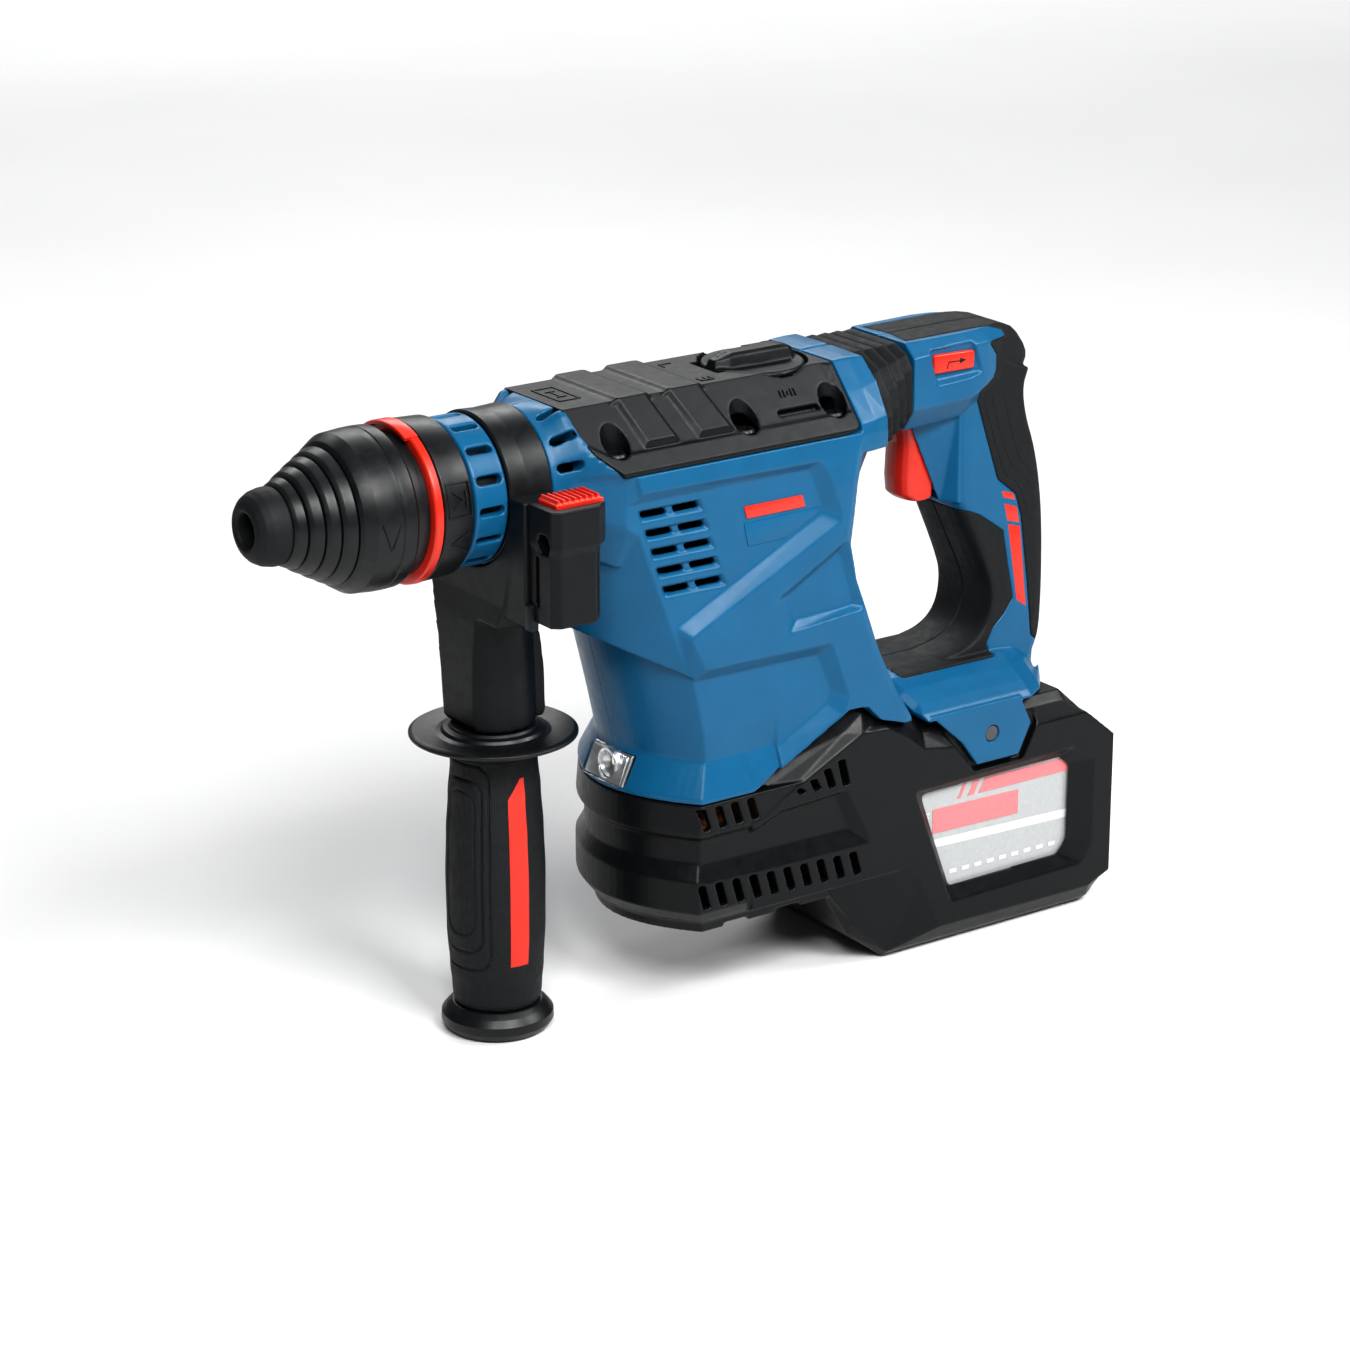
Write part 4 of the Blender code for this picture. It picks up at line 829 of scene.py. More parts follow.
def handle_shells():
    """Grip, arm, foot and clamp cheek of the +Y half, as closed shells."""
    rear = smooth_line(REAR_LINE[5:] + [(344.6, -98), (341.5, -104)])
    front = smooth_line([(288, -104)] + FRONT_LINE)
    grip_line = rear + [(341, -112), (300, -112)] + front + [(298.2, -30), (297.6, -6), (296, 8), (300, 22)]

    def across(y, squeeze):
        return [(322 + (x - 322) * squeeze, y, z) for x, z in grip_line]

    grip = loft([across(0.06, 1.0), across(7.0, 1.0), across(11.5, 0.975), across(14.6, 0.92), across(16.3, 0.84),
                 across(16.9, 0.72)])

    def arm_section(x, half, top, bottom, chamfer):
        return [(x, 0.06, top), (x, half - chamfer, top), (x, half, top - chamfer * 0.85), (x, half, bottom + 9),
                (x, half * 0.72, bottom), (x, 0.06, bottom)]

    arm = loft([arm_section(272.4, 22.0, 28.6, -5.0, 6.0), arm_section(281, 21.8, 28.7, -5.0, 5.6),
                arm_section(301, 21.5, 28.9, -4.0, 5.0), arm_section(309, 20.2, 28.9, -1.5, 5.0),
                arm_section(319, 16.6, 28.7, 1.0, 5.0), arm_section(324, 15.6, 27.8, 2.0, 5.0),
                arm_section(328.4, 14.6, 25.9, 2.6, 4.6), arm_section(331.8, 13.6, 23.0, 3.4, 4.2),
                arm_section(334.2, 12.4, 19.4, 4.6, 4.0), arm_section(335.2, 11.0, 16.0, 6.0, 3.6)])
    web = loft([[(276, 0.06, 6), (276, 9, 6), (300, 15.5, 6), (322, 15.5, 6), (322, 0.06, 6)],
                [(296, 0.06, -38), (296, 9, -38), (300, 15.5, -38), (322, 15.5, -38), (322, 0.06, -38)]])
    stub = box(246, 275, 0.06, 16, 3, 20)

    def foot_section(shift, height, wide):
        ring = [(0.06, -99.0), (13, -99.3), (20, -100.3), (27, -103.2), (33.5, -107.4), (37.6, -110.3),
                (39.5, -112.4), (39.5, -113.4), (0.06, -113.4)]
        return [(shift(z), y * wide if y > 1 else y, z + height * (1 if z > -110 else 0)) for y, z in ring]

    foot = loft([foot_section(lambda z: 261.6 + (-99 - z) * 0.5, -2.5, 1.0),
                 foot_section(lambda z: 264.6 + (-99 - z) * 0.5, 0.0, 1.0),
                 foot_section(lambda z: 319.0, 0.0, 1.0), foot_section(lambda z: 328.0, -0.6, 0.86),
                 foot_section(lambda z: 336.0, -2.4, 0.62), foot_section(lambda z: 341.6, -6.4, 0.44)])
    cheek = prism("Y", 37.2, 39.6, [(270.5, -111.5), (313.5, -111.5), (319.2, -123.4), (313.4, -135.2),
                                    (293.0, -135.2), (285.6, -125.2)])
    return [grip, arm, web, stub, foot, cheek]


REAR_PAD = [(268, 40), (340, 40), (360, 30), (360, -101), (341.5, -101), (337.2, -97.5), (336.4, -90),
            (334.6, -75), (330.6, -48), (327.6, -38.8), (318.4, -31.4), (305.6, 6.2), (313.6, 9.6), (315.4, 12.8),
            (315.2, 18.6), (311.0, 23.4), (302.0, 26.9), (268, 26.9)]
FRONT_PAD = [(270, -41.5), (284, -38.6), (300, -40.8), (306.0, -42.4), (310.2, -44.4), (322.0, -52.6), (324.6, -66.0),
             (327.8, -80.6), (323.4, -86.4), (318.4, -90.8), (315.0, -96.9), (316.2, -101.0), (270, -101.0)]


def build_handle():
    shells = handle_shells()
    pocket_cuts = [
        box(262, 300.6, -8.5, 8.5, -38.6, 7.0), box(290, 317.6, -8.5, 8.5, -37.4, -1.0),
        box(282.6, 303.2, -1, 18.4, 14.4, 24.2),
        box(255, 275, -1, 12, 6, 17), rod("Y", 30, 45, 300.0, -124.0, 3.4, 32),
    ]
    niche = pocket([(279.6, 26.0), (302.0, 26.6), (308.4, 12.4), (284.0, 11.4)],
                   [(281.6, 24.8), (301.0, 25.2), (305.2, 14.0), (284.8, 13.4)], 19.0, 1.2, 21.6, 26.0)
    full = solid([shells[0]], add=shells[1:])
    boolean(full, pocket_cuts + [niche], "DIFFERENCE")

    def portion(keep, cuts, voxel):
        item = bpy.data.objects.new("shape", full.data.copy())
        bpy.context.scene.collection.objects.link(item)
        boolean(item, keep, "INTERSECT")
        boolean(item, cuts, "DIFFERENCE")
        return soften(item, voxel, 2)

    rear_zone = prism("Y", -2, 30, REAR_PAD)
    top_limit = prism("X", 262, 321, [(13.4, 24.2), (30, 24.2), (30, 40), (13.4, 40)])
    top_front = prism("Z", 20, 40, [(262, -2), (277.5, -2), (274.6, 16), (262, 16)])
    front_zone = prism("Y", -2, 40, FRONT_PAD)
    under_palm = prism("X", 240, 350, [(28.6, -90), (60, -90), (60, -120), (-2, -120), (-2, -110.5), (17.5, -110.5),
                                       (27.0, -104.4)])
    palm_zone = loft([[(258, -2, z), (258, 20, z), (287, 29.4, z), (313, 26.4, z), (316.4, 21, z), (316.4, -2, z)]
                      for z in (-112, -88)])
    narrow = prism("Y", 18.5, 60, [(250, -60), (330, -60), (330, -96.5), (250, -96.5)])

    rear = portion([rear_zone], [top_limit, top_front], 0.5)
    front = portion([front_zone], [under_palm, narrow], 0.5)
    blue = bpy.data.objects.new("shape", full.data.copy())
    bpy.context.scene.collection.objects.link(blue)
    rear_cut = solid([rear_zone], cut=[top_limit, top_front])
    front_cut = solid([front_zone], cut=[under_palm, narrow])
    subtract(blue, rear_cut)
    subtract(blue, front_cut)
    soften(blue, 0.5, 3)
    bpy.data.objects.remove(full)
    for name, item in (("handle_shell", blue), ("handle_back_pad", rear), ("handle_palm_pad", front)):
        other = reflected(item)
        look = "blue" if name == "handle_shell" else "rubber"
        nodes = {"handle_shell": ("handle_left",), "handle_back_pad": ("handle_rear_pad",),
                 "handle_palm_pad": ("handle_front_pad",)}[name]
        made(item, name + "_left", look, "handle", *nodes)
        made(other, name + "_right", look, "handle", *(("handle_right",) if name == "handle_shell" else ()))

    cover_marks = []
    for side in (-1, 1):
        for outline in ([(320.4, -36.4), (326.0, -38.0), (327.4, -41.2), (321.4, -39.2)],
                        [(321.8, -41.6), (328.2, -44.0), (329.6, -50.6), (323.6, -48.8)],
                        [(324.0, -50.2), (330.0, -52.0), (334.2, -85.2), (329.4, -82.0)]):
            lo, hi = (15.2, 16.95) if side > 0 else (-16.95, -15.2)
            cover_marks.append(prism("Y", lo, hi, outline))
    made(bevelled(mesh_object(cover_marks), 0.15, 2), "grip_stripes", "red", "handle")

    face = [(277.2, 2.0), (281, 5.6), (287, 6.0), (293.5, 6.0), (293.5, -36.6), (290, -37), (283.5, -37),
            (280.2, -34.5), (279.4, -28), (280.2, -14), (278.4, -4)]
    face = rounded(face, 2.0, 3)
    trigger = loft([[(x + (0 if x > 291 else bulge * (293.5 - x) / 14), y, z) for x, z in face]
                    for y, bulge in ((-7.8, 4.6), (-7.0, 2.6), (-5.2, 1.0), (-2.5, 0.2), (0, 0), (2.5, 0.2),
                                     (5.2, 1.0), (7.0, 2.6), (7.8, 4.6))])
    made(soften(mesh_object([trigger]), 0.4, 3), "trigger_blade", "red", "trigger", "trigger")
    slider = solid([loft([[(283.2, y, 15.6), (302.6, y, 15.4), (302.8, y, 22.6), (283.2, y, 23.2)]
                          for y in (-20.4, 20.4)])])
    mark = [prism("Y", s * 20.3 if s < 0 else 20.3, s * 20.3 + s * 0.2, o) if s > 0 else
            prism("Y", -20.5, -20.3, o) for s in (1, -1)
            for o in ([(289, 17.2), (289.4, 17.2), (290.4, 19.8), (290.0, 19.8)],
                      [(290.0, 19.4), (295.4, 19.2), (295.4, 19.6), (290.0, 19.8)],
                      [(295.4, 18.4), (298.4, 19.4), (295.4, 20.6)])]
    made(bevelled(slider, 1.0, 4), "direction_slider", "red", "direction_switch", "direction_switch")
    made(mesh_object(mark), "direction_marks", "charcoal", "direction_switch")
    relief()


def relief():
    """Nested ridges moulded into the sides of the back pad."""
    shells = []
    for side in (1, -1):
        for line in ([(314.6, 1.8), (321.2, -19.0), (325.8, -28.0), (332.6, -31.6), (338.4, -48), (340.6, -70)],
                     [(320.2, 1.4), (328.0, -23.6), (334.0, -29.4), (339.6, -44)],
                     [(309.8, 3.6), (317.0, -17.0), (321.6, -30.0), (329.4, -34.6), (334.8, -50)]):
            shells += side_tube(smooth_line(line, 1), side)
    made(smoothed(mesh_object(shells)), "back_pad_ridges", "knurled", "handle")


def side_tube(line, side):
    shells = []
    for (x0, z0), (x1, z1) in zip(line, line[1:]):
        along = Vector((x1 - x0, z1 - z0)).normalized()
        across = Vector((-along.y, along.x))
        rings = []
        for x, z in ((x0 - along.x * 0.2, z0 - along.y * 0.2), (x1 + along.x * 0.2, z1 + along.y * 0.2)):
            reach = pad_surface(x)
            rings.append([(x + across.x * w, side * (reach + h), z + across.y * w)
                          for w, h in ((-0.5, -0.5), (-0.28, 0.18), (0.0, 0.3), (0.28, 0.18), (0.5, -0.5))])
        shells.append(loft(rings))
    return shells


def pad_surface(x):
    """Half-width of the grip's surface at a distance back along its side."""
    return 16.8 - 0.018 * max(0.0, abs(x - 322) - 10) ** 2


# ------------------------------------------------------------------ base, guard and battery
GUARD_FULL = SEAM_LINE[1:7] + [(266.3, -112.4), (268, -115.2), (338, -115.2), (361.7, -136.6), (361.7, -198),
                               (353, -206.9), (253, -206.9), (236, -194), (222.7, -172), (186, -172)]
GUARD_SIDE = [(186, -134.6), (191, -134.6), (199, -129.2), (236.6, -110.6), (249.6, -111.4), (257.0, -115.6),
              (266.3, -123.0), (279, -125.2), (347.8, -125.0), (361.7, -136.6), (361.7, -193.8), (351.4, -198.2),
              (275.4, -197.6), (265.6, -176.9), (258.6, -169.6), (186, -169.6)]
BASE = [   # z, front in the middle, front at the corner, half-width
    (-123.8, 145.9, 163.2, 39.7),
    (-135.6, 145.2, 162.0, 39.9),
    (-138.2, 147.8, 164.0, 37.3),
    (-147.0, 147.8, 164.0, 37.3),
    (-153.4, 145.0, 161.6, 39.9),
    (-165.6, 145.0, 161.6, 39.9),
    (-169.6, 148.0, 164.0, 37.4),
    (-171.6, 150.2, 166.0, 35.4),
    (-175.6, 151.0, 166.8, 34.6),
]
WINDOW = [(269.4, -144.0), (334.2, -143.1), (337.0, -146.5), (336.7, -175.3), (332.0, -180.0), (282.5, -180.8)]


def base_ring(station, inset, rear):
    z, mid, corner, half = station
    ring = [(mid + inset + (corner - mid) * (i / 12) ** 2, -0.8 + (half - inset + 0.8) * i / 12, z)
            for i in range(13)]
    return ring + [(rear, half - inset, z), (rear, -0.8, z)]


def build_base():
    hull = loft([[(x, -0.8, z) for x, z in GUARD_FULL], [(x, 33.0, z) for x, z in GUARD_FULL],
                 [(x, 36.4, z + (c - z) * 0.34) for (x, z), (_, c) in zip(GUARD_FULL, GUARD_SIDE)],
                 [(x, 40.0, z) for x, z in GUARD_SIDE]])
    nose = loft([base_ring(s, 0.0, 232.0 if s[0] > -168 else 226.0) for s in BASE])
    inside = loft([base_ring(s, 3.2, 229.0) for s in BASE[:6]] + [base_ring((-170.5, 150, 166, 37), 3.2, 229.0)])
    fill = box(196, 244, -0.8, 39.9, -165, -137)
    trims = [
        prism("Y", -2, 60, [(100, -110), (186, -110), (186, -123.7), (100, -123.7)]),
        box(228, 262, -2, 30, -164, -128),
        prism("Y", -2, 36.6, [(246, -140.5), (370, -140.5), (370, -201.5), (262, -201.5), (246, -190)]),
        box(246, 314, -2, 25, -141, -130),
        prism("Y", 20, 60, rounded(WINDOW, 2.2, 3)),
        pocket([(262, -139.4), (342, -137.9), (352, -145), (352, -180), (347, -188), (281, -189)], WINDOW, 35.9,
               2.0),
        pocket([(140, -136.3), (188.4, -137.2), (199.2, -132.8), (229.6, -131.4), (241.6, -155.2), (140, -154.4)],
               [(140, -138.8), (189.2, -139.8), (200.0, -135.2), (226.4, -134.0), (232.4, -148.2), (140, -147.4)],
               37.2, 0.8),
        pocket([(266, -105), (322, -105), (322.2, -124.0), (315.4, -137.4), (291.6, -137.4), (282.6, -127.0)],
               [(266, -105), (322, -105), (322.2, -124.0), (315.4, -137.4), (291.6, -137.4), (282.6, -127.0)], 36.8),
        rod("Y", 20, 60, 300.0, -124.0, 3.3, 32),
        prism("Y", -2, 60, [(177, -174.2), (188, -174.2), (189.6, -180), (175.6, -180)]),
        prism("Y", -2, 60, [(201, -174.2), (212, -174.2), (213.6, -180), (199.6, -180)]),
    ]

    def slot(x, top, bottom, width=3.3, slant=2.7):
        return prism("Y", 30, 60, rounded([(x, top), (x + width, top), (x + width + slant, bottom),
                                           (x + slant, bottom)], 0.35))

    slots = [slot(161.6 + 7.25 * i, -125.2, -133.8) for i in range(4)]
    slots += [slot(205.4 + 6.6 * i, top, bottom) for i, (top, bottom) in
              enumerate(((-126.4, -128.6), (-124.0, -128.8), (-121.4, -129.2), (-119.0, -129.6)))]
    slots += [slot(161.4 + 7.75 * i, -154.9 - 0.28 * i, -164.4 - 0.26 * i) for i in range(10)]
    half = solid([hull], add=[nose, fill])
    boolean(half, [inside] + trims + slots, "DIFFERENCE")
    soften(half)
    other = reflected(half)
    made(half, "guard_left", "black", "housing", "base_guard")
    made(other, "guard_right", "black", "housing")
    rims = [turned("Y", 300.0, -124.0, rounded([(a, 3.4), (a, 6.0), (a + w, 5.6), (a + w, 3.4)], 0.2), 48)
            for a, w in ((39.0, 0.5), (-39.0, -0.5))]
    made(smoothed(mesh_object(rims)), "pivot_rims", "blue", "handle")


def build_battery():
    def plan(z, inset, corner=5.0):
        x0, x1, half = 258.0 + inset, 350.0 - inset, 35.4 - inset
        return [(x, y, z) for x, y in rounded([(x0, corner - half), (x0 + corner, -half), (x1 - corner, -half),
                                               (x1, corner - half), (x1, half - corner), (x1 - corner, half),
                                               (x0 + corner, half), (x0, half - corner)], 2.0, 3)]

    lower = solid([loft([plan(-201.5, 6.5), plan(-198.6, 2.4), plan(-195, 0), plan(-172.4, 0), plan(-171.9, 0.5)])],
                  cut=[loft([plan(-199, 8.5), plan(-193.5, 2.2), plan(-165, 2.2)])])
    made(smoothed(lower, 35), "battery_tray", "charcoal", "battery", "battery_case_lower")
    upper = solid([loft([plan(-171.4, 0.5), plan(-170.9, 0.0), plan(-143.0, 0), plan(-141, 2.0)])],
                  cut=[loft([plan(-180, 2.2), plan(-143.5, 2.2)]), box(344, 352, -16.6, 16.6, -165.6, -149.4)])
    made(smoothed(upper, 35), "battery_lid", "charcoal", "battery", "battery_case_upper")

    def decal(name, look, layer, *outlines):
        shells = []
        for side in (1, -1):
            y = 35.4 + 0.11 * layer
            for outline in outlines:
                shells.append(prism("Y", *sorted((side * (y - 0.4), side * (y + 0.1))), outline))
        made(mesh_object(shells), name, look, "battery")

    decal("label_field", "grey", 1, [(264, -142.6), (344, -142.6), (344, -184), (264, -184)])
    decal("label_band", "pale", 2, [(264, -163.0), (344, -165.2), (344, -168.6), (264, -166.2)])
    decal("label_stripes", "pink", 3, [(300.0, -143.4), (344.0, -143.6), (344.0, -149.0), (297.0, -148.8)],
          [(291.6, -148.8), (294.4, -143.4), (297.4, -143.4), (294.6, -148.8)],
          [(286.6, -148.8), (289.4, -143.4), (291.0, -143.4), (288.2, -148.8)],
          [(274.6, -150.8), (317.0, -151.6), (317.0, -161.4), (274.6, -160.6)])
    decal("label_dashes", "pale", 3, *[[(271.0 + 6.2 * i, -177.4), (274.4 + 6.2 * i, -177.4),
                                        (274.4 + 6.2 * i, -178.9), (271.0 + 6.2 * i, -178.9)] for i in range(11)],
          *[[(266.0, -152.0 - 1.5 * i), (273.0 - 0.3 * i, -152.0 - 1.5 * i), (273.0 - 0.3 * i, -152.4 - 1.5 * i),
             (266.0, -152.4 - 1.5 * i)] for i in range(6)])
    grips = [box(352.2, 353.2, -13 + 3.4 * i, -11.4 + 3.4 * i, -162.5, -152.5) for i in range(8)]
    button = solid([box(346.6, 352.5, -15.8, 15.8, -164.8, -150.2)], add=grips)
    made(bevelled(button, 0.35), "battery_latch", "red", "battery_button", "battery_button")


# ------------------------------------------------------------------ side handle
def build_side_handle():
    band = rounded([(90.1, 27.1), (90.9, 27.9), (98.0, 27.5), (107.1, 27.9), (107.9, 27.1), (107.9, 24.9),
                    (90.1, 24.9)], 0.4)
    made(smoothed(mesh_object([turned("X", 0, 0, band, 144)])), "clamp_strap", "satin", "side_handle",
         "clamp_band")

    def section(z, front, half, reach_x, reach_y):
        ring = [(front, -half + 1.5, z), (front, half - 1.5, z)]
        ring += [(GRIP_X + reach_x * math.cos(math.radians(a)), reach_y * math.sin(math.radians(a)), z)
                 for a in range(125, -126, -12)]
        return ring

    plate = loft([section(-10, 89.5, 30.5, 8.5, 34), section(-24, 89.3, 28.5, 9.0, 32), section(-38, 88.8, 25.4, 10.5, 28.6),
                  section(-48, 87.4, 21.6, 14.5, 23.6), section(-58, 86.6, 18.2, 18.2, 20.2),
                  section(-70, 86.0, 15.6, 19.6, 18.8), section(-86.4, 85.8, 13.8, 19.7, 17.6),
                  section(-88.2, 86.8, 12.8, 18.7, 16.6)])
    arm = box(89.4, 107.2, -37, -24, -41.5, 3)
    hollow = [(80, -4.5), (118, -4.5), (118, -40), (80, -40)]
    hollow = solid([loft([[(x, y - drop, z) for x, y in hollow] for z, drop in ((-46.5, 3.0), (-50.0, 0.0), (-95, 2.0))])],
                   cut=[turned_boss()])
    bracket = solid([plate], add=[arm], cut=[rod("X", 80, 120, 0, 0, 27.7, 96)])
    subtract(bracket, hollow)
    boolean(bracket, [rod("Z", -95, -30, GRIP_X, 0, 4.4), rod("Z", -33.4, -20, GRIP_X, 0, 7.4)], "DIFFERENCE")
    made(soften(bracket, 0.6, 3), "handle_bracket_casting", "charcoal", "side_handle", "handle_bracket")

    upper = loft([[(90.6, -37.2, z), (114.0, -37.2, z), (114.0, -50.6, z), (109.6, -54.0, z), (93.6, -54.0, z),
                   (90.6, -51.6, z)] for z in (-10.6, 3.3)])
    lower = loft([[(91.2, -37.2, z), (112.4, -37.2, z), (112.4, -49.4, z), (108.6, -52.6, z), (94.0, -52.6, z),
                   (91.2, -50.4, z)] for z in (-39, -9.8)])
    step = loft([[(91.2, -37.2, -12.6), (112.4, -37.2, -12.6), (112.4, -49.4, -12.6), (108.6, -52.6, -12.6),
                  (94.0, -52.6, -12.6), (91.2, -50.4, -12.6)],
                 [(90.6, -37.2, -10.4), (114.0, -37.2, -10.4), (114.0, -50.6, -10.4), (109.6, -54.0, -10.4),
                  (93.6, -54.0, -10.4), (90.6, -51.6, -10.4)]])
    block = solid([upper], add=[lower, step], cut=[
        box(94.4, 120, -49.4, -30, -5.8, 10), prism("X", 80, 120, circle(-46.5, -9.6, 4.2, 6)),
        box(88, 94, -42.9, -40.6, -33, -15), box(93.0, 111, -51.0, -38.5, -37.5, -14)])
    made(soften(block, 0.42, 3), "depth_block", "charcoal", "side_handle", "depth_stop_block")
    tab = box(89.4, 93.0, -40.0, -36.0, -42.6, -33.0)
    made(bevelled(mesh_object([tab]), 0.5), "block_tab", "charcoal", "side_handle")
    clips = [box(94.5, 97.0, -42.6, -40.9, -18.5, -15.4), box(97.0, 98.6, -46.2, -43.2, -13.4, -7.0)]
    made(bevelled(mesh_object(clips), 0.25), "depth_clips", "red", "side_handle")
    ribs = [loft([[(95.3 + i * 2.35, y, 3.8), (97.0 + i * 2.35, y, 3.8), (96.5 + i * 2.35, y, 5.9),
                   (95.8 + i * 2.35, y, 5.9)] for y in (-48.4, -37.6)]) for i in range(8)]
    button = solid([box(94.8, 114.5, -48.9, -37.3, -2.6, 4.4)], add=ribs)
    made(soften(button, 0.32, 2), "depth_release", "red", "depth_button", "depth_button")

    def disc(profile):
        return turned("Z", GRIP_X, 0, rounded(profile, 0.5, 3), 128)

    flange = disc([(-88.9, 4.6), (-88.9, 15.4), (-89.9, 16.2), (-90.2, 18.2), (-91.4, 19.0), (-91.9, 21.0),
                   (-91.0, 29.2), (-91.8, 30.7), (-92.9, 30.7), (-95.4, 25.0), (-97.0, 17.8), (-97.8, 15.0),
                   (-97.8, 4.6)])
    cap = disc([(-196.4, 10.4), (-196.4, 16.6), (-198.2, 18.6), (-200.6, 20.6), (-203.6, 20.7), (-206.0, 19.2),
                (-207.0, 16.4), (-207.0, 5.2), (-200.0, 4.8)])
    tube = disc([(-100.0, 4.6), (-100.0, 8.5), (-111.8, 8.5), (-111.8, 4.6)])
    barrel = disc([(-97.4, 8.6), (-97.4, 10.9), (-196.6, 10.9), (-196.6, 4.8), (-150.0, 4.8), (-150.0, 4.6),
                   (-112.2, 4.6), (-112.2, 8.6)])
    made(smoothed(mesh_object([flange, cap, tube, barrel])), "grip_frame", "satin", "side_grip",
         "side_grip_core")
    made(grip_sleeve(), "grip_cover", "knurled", "side_grip", "side_grip_sleeve")
    made(smoothed(mesh_object([grip_plate()]), 45), "grip_stripe", "red", "side_grip")
    hexagon = prism("Z", -111, -101, circle(GRIP_X, 0, 7.8, 6))
    made(bevelled(solid([hexagon], cut=[rod("Z", -115, -95, GRIP_X, 0, 4.3)]), 0.4), "grip_hex_nut", "steel",
         "side_grip", "grip_nut")


def turned_boss():
    """Round core of the bracket round the clamp bolt."""
    rings = [(-100.0, 15.6), (-70.0, 15.0), (-40.0, 13.6)]
    return loft([[(x, y, z) for x, y in circle(GRIP_X, 0, radius, 64)] for z, radius in rings])


def grip_radius(z):
    line = [(-97.4, 15.8), (-104, 15.9), (-115, 16.8), (-130, 17.7), (-146, 18.2), (-166, 18.0), (-182, 17.2),
            (-190, 16.5), (-196.4, 16.1)]
    for (z0, r0), (z1, r1) in zip(line, line[1:]):
        if z1 <= z <= z0:
            t = (z0 - z) / (z0 - z1)
            t = t * t * (3 - 2 * t)
            return r0 + (r1 - r0) * t
    return line[0][1] if z > line[0][0] else line[-1][1]


PAD_OUTLINES = ((40.0, -100.5, -179.6), (31.0, -106.5, -172.6), (22.0, -111.0, -166.0))


def grip_relief(angle, z):
    """Depth cut into the grip by its nested pad outlines; 0 degrees is the middle of a pad."""
    depth = 0.0
    for number, (half, top, bottom) in enumerate(PAD_OUTLINES):
        across = (half - abs(angle)) * math.pi / 180 * 17.5
        down = min(top - z, z - bottom)
        corner = 6.0
        if across < corner and down < corner:
            inside = corner - math.hypot(corner - across, corner - down)
        else:
            inside = min(across, down)
        depth -= 0.55 * math.exp(-(inside / 0.42) ** 2)
        depth += (0.22 if number < 2 else -0.25) * min(1.0, max(0.0, inside / 1.4))
    return depth


def grip_sleeve():
    columns, rows = 300, 220
    outer, inner = [], []
    for i in range(rows + 1):
        z = -97.6 - 98.6 * i / rows
        ring, core = [], []
        for j in range(columns):
            turn = 360.0 * j / columns
            local = (turn - 190.0 + 90.0) % 180.0 - 90.0
            reach = grip_radius(z) + grip_relief(local, z)
            edge = min(1.0, i / 6, (rows - i) / 6)
            reach -= 0.9 * (1 - edge) ** 2
            angle = math.radians(turn)
            ring.append((GRIP_X + reach * math.cos(angle), reach * math.sin(angle), z))
            core.append((GRIP_X + 11.2 * math.cos(angle), 11.2 * math.sin(angle), z))
        outer.append(ring)
        inner.append(core)
    item = mesh_object([loft(outer + [inner[-1], inner[0]], closed=True)])
    item.data.shade_smooth()
    item.data.set_sharp_from_angle(angle=math.radians(60))
    return item


def grip_plate():
    """Plain red stripe down the grip between its pads."""
    rings = []
    steps = 60
    for i in range(steps + 1):
        z = -106.0 - 72.0 * i / steps
        low, high = 254.0, 278.0
        if i < 6:
            low += (6 - i) * 3.0
        reach = grip_radius(z)
        ring = []
        for degree, lift in ((low, -0.5), (low, 0.16), ((low + high) / 2, 0.2), (high, 0.16), (high, -0.5)):
            a = math.radians(degree)
            ring.append((GRIP_X + (reach + lift) * math.cos(a), (reach + lift) * math.sin(a), z))
        rings.append(ring)
    return loft(rings)


# ------------------------------------------------------------------ the CAD pieces that stay in sight
def paint_nodes():
    looks = {
        "tool_holder": "steel", "hammer_tube": "steel", "chuck_body": "dark_steel", "sleeve_spring": "steel",
        "bevel_ring_gear": "dark_steel", "locking_roller_upper": "dark_steel",
        "locking_roller_lower": "dark_steel", "striker": "steel", "beat_piece": "dark_steel",
        "rotor": "dark_steel", "cooling_fan": "black", "crank_gear": "dark_steel",
        "bevel_drive_shaft": "dark_steel", "piston": "alloy", "connecting_rod": "alloy", "selector_cam": "alloy",
        "handle_damper": "rubber", "spindle_bearing": "steel", "spindle_seal": "rubber",
        "gearbox_frame": "alloy", "stator": "copper", "motor_bearing_lower": "steel",
        "motor_bearing_upper": "steel", "controller_board": "board", "pivot_shaft": "dark_steel",
        "battery_rail": "black", "battery_cells": "steel", "clamp_bolt": "steel", "switch_module": "black",
    }
    for name, look in looks.items():
        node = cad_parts[name]
        if not node.material_slots:
            continue
        for slot in node.material_slots:
            slot.link = "OBJECT"
            slot.material = LOOKS[look]


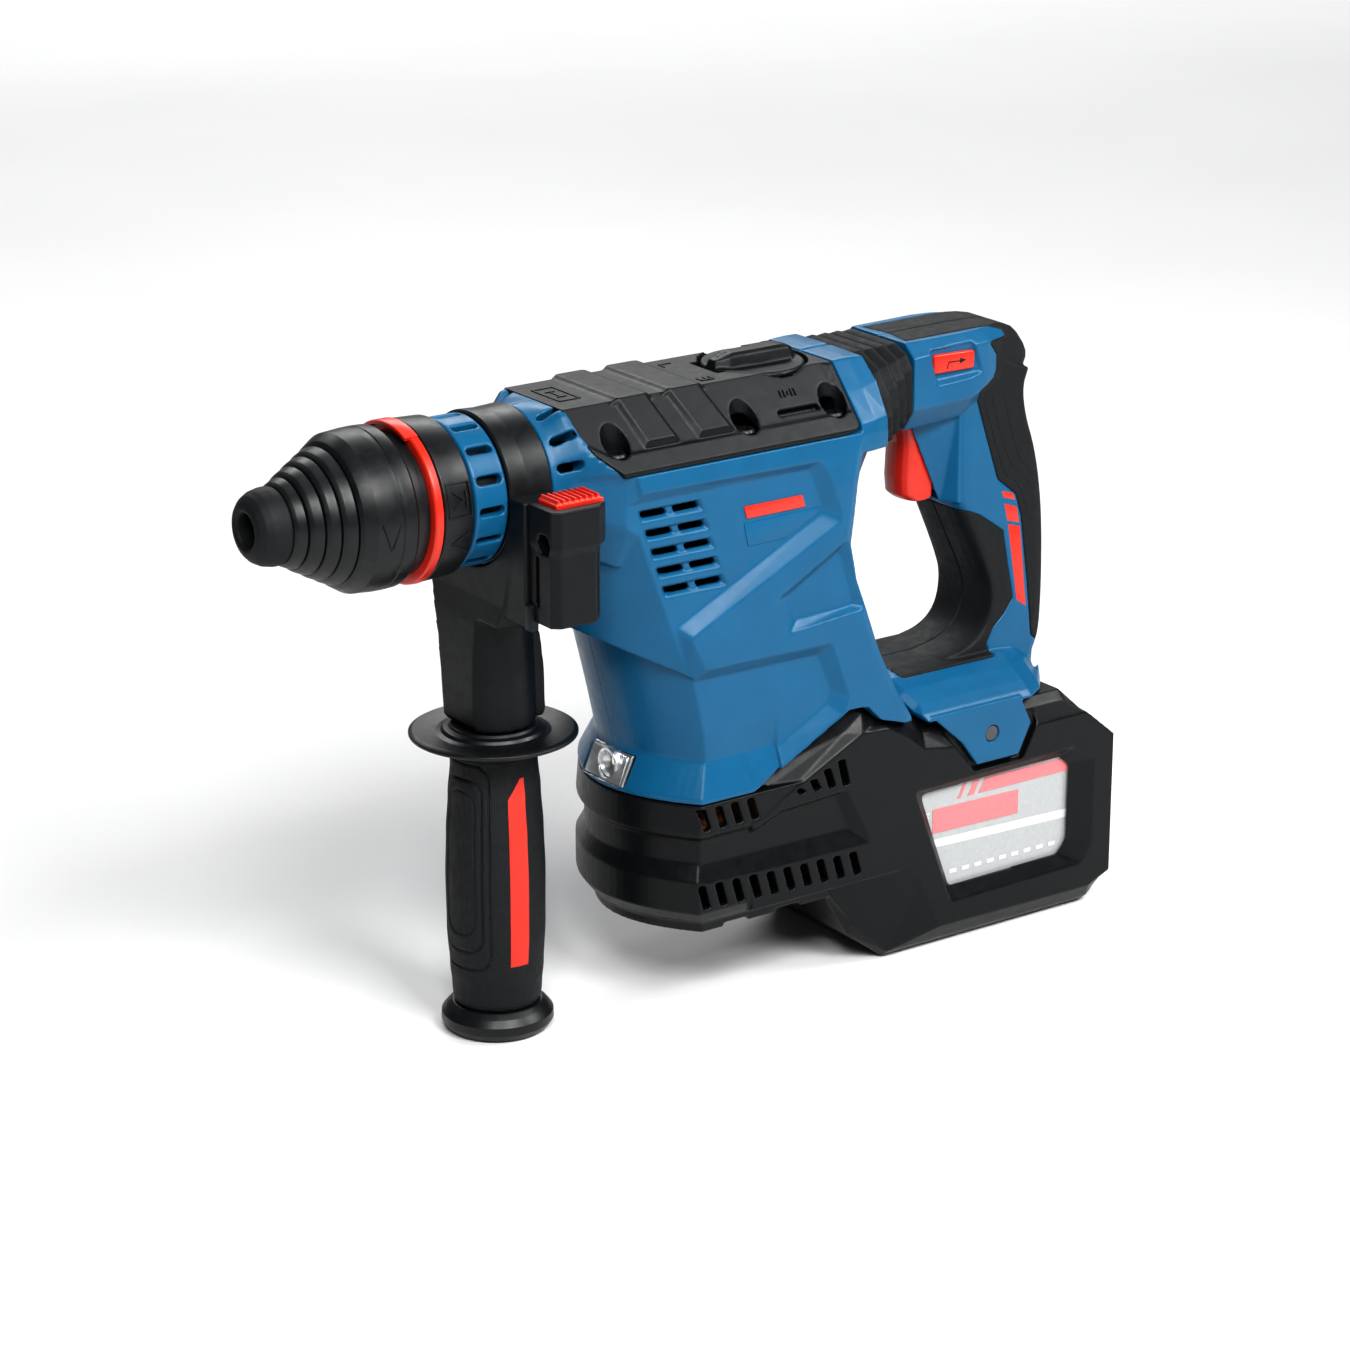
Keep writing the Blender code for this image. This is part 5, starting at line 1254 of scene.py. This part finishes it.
# ------------------------------------------------------------------ floor, light and camera
def build_stage():
    bpy.ops.mesh.primitive_plane_add(size=1.0)
    floor = bpy.context.object
    floor.name = "studio_floor"
    mesh = bpy.data.meshes.new("studio_floor")
    mesh.from_pydata([(-9, -6, 0), (9, -6, 0), (9, 14, 0), (-9, 14, 0)], [], [(0, 1, 2, 3)])
    floor.data = mesh
    n = Nodes("studio_paper")
    tone = n.between(n.noise(3.0, 3.0), 0.3, 0.7)
    n.set(colour=n.mix(tone, (0.70, 0.70, 0.70), (0.73, 0.73, 0.73)), rough=0.9, specular=0.1,
          normal=n.bump(n.noise(400.0, 3.0), 0.2, 0.05))
    mesh.materials.append(n.material)


def area_light(name, location, target, size, power, colour=(1.0, 1.0, 1.0)):
    light = bpy.data.lights.new(name, "AREA")
    light.shape, light.size, light.size_y = "RECTANGLE", *size
    light.energy, light.color = power, colour
    item = bpy.data.objects.new(name, light)
    item.location = location
    item.rotation_mode = "QUATERNION"
    item.rotation_quaternion = (Vector(target) - Vector(location)).to_track_quat("-Z", "Y")
    bpy.context.scene.collection.objects.link(item)


def build_light():
    middle = (-0.12, 0.0, 0.12)
    area_light("key", (-0.16, -1.10, 1.15), middle, (0.6, 0.55), 21.0)
    area_light("flare_strip", (-0.80, -0.86, 1.08), middle, (0.32, 0.45), 11.0)
    area_light("bevel_strip", (0.80, -0.66, 1.02), middle, (0.5, 0.5), 11.0)
    area_light("top", (-0.30, 0.25, 1.5), middle, (0.8, 0.5), 1.6)
    area_light("back_rim", (0.3, 1.1, 0.9), middle, (1.0, 0.4), 3.5)
    area_light("backdrop", (1.3, 2.9, 2.6), (1.6, 3.6, 0.0), (3.5, 2.0), 130.0)
    world = bpy.data.worlds.new("studio")
    world.use_nodes = True
    sky = world.node_tree.nodes["Background"]
    sky.inputs["Color"].default_value = (0.90, 0.93, 0.97, 1.0)
    sky.inputs["Strength"].default_value = 0.10
    bpy.context.scene.world = world
    bpy.context.scene.view_settings.view_transform = "Standard"
    bpy.context.scene.view_settings.look = "Medium High Contrast"


def build_camera():
    data = bpy.data.cameras.new("camera")
    data.lens, data.sensor_width = 107.17, 36.0
    data.clip_start, data.clip_end = 0.05, 20.0
    camera = bpy.data.objects.new("camera", data)
    camera.location = (-0.93529, -1.14661, 0.60534)
    camera.rotation_euler = (math.radians(70.95), 0.0, math.radians(-35.39))
    bpy.context.scene.collection.objects.link(camera)
    bpy.context.scene.camera = camera


build_camera()
build_light()
build_stage()
build_chuck()
build_housing()
build_cover()
build_bellows()
build_handle()
build_base()
build_battery()
build_side_handle()
paint_nodes()
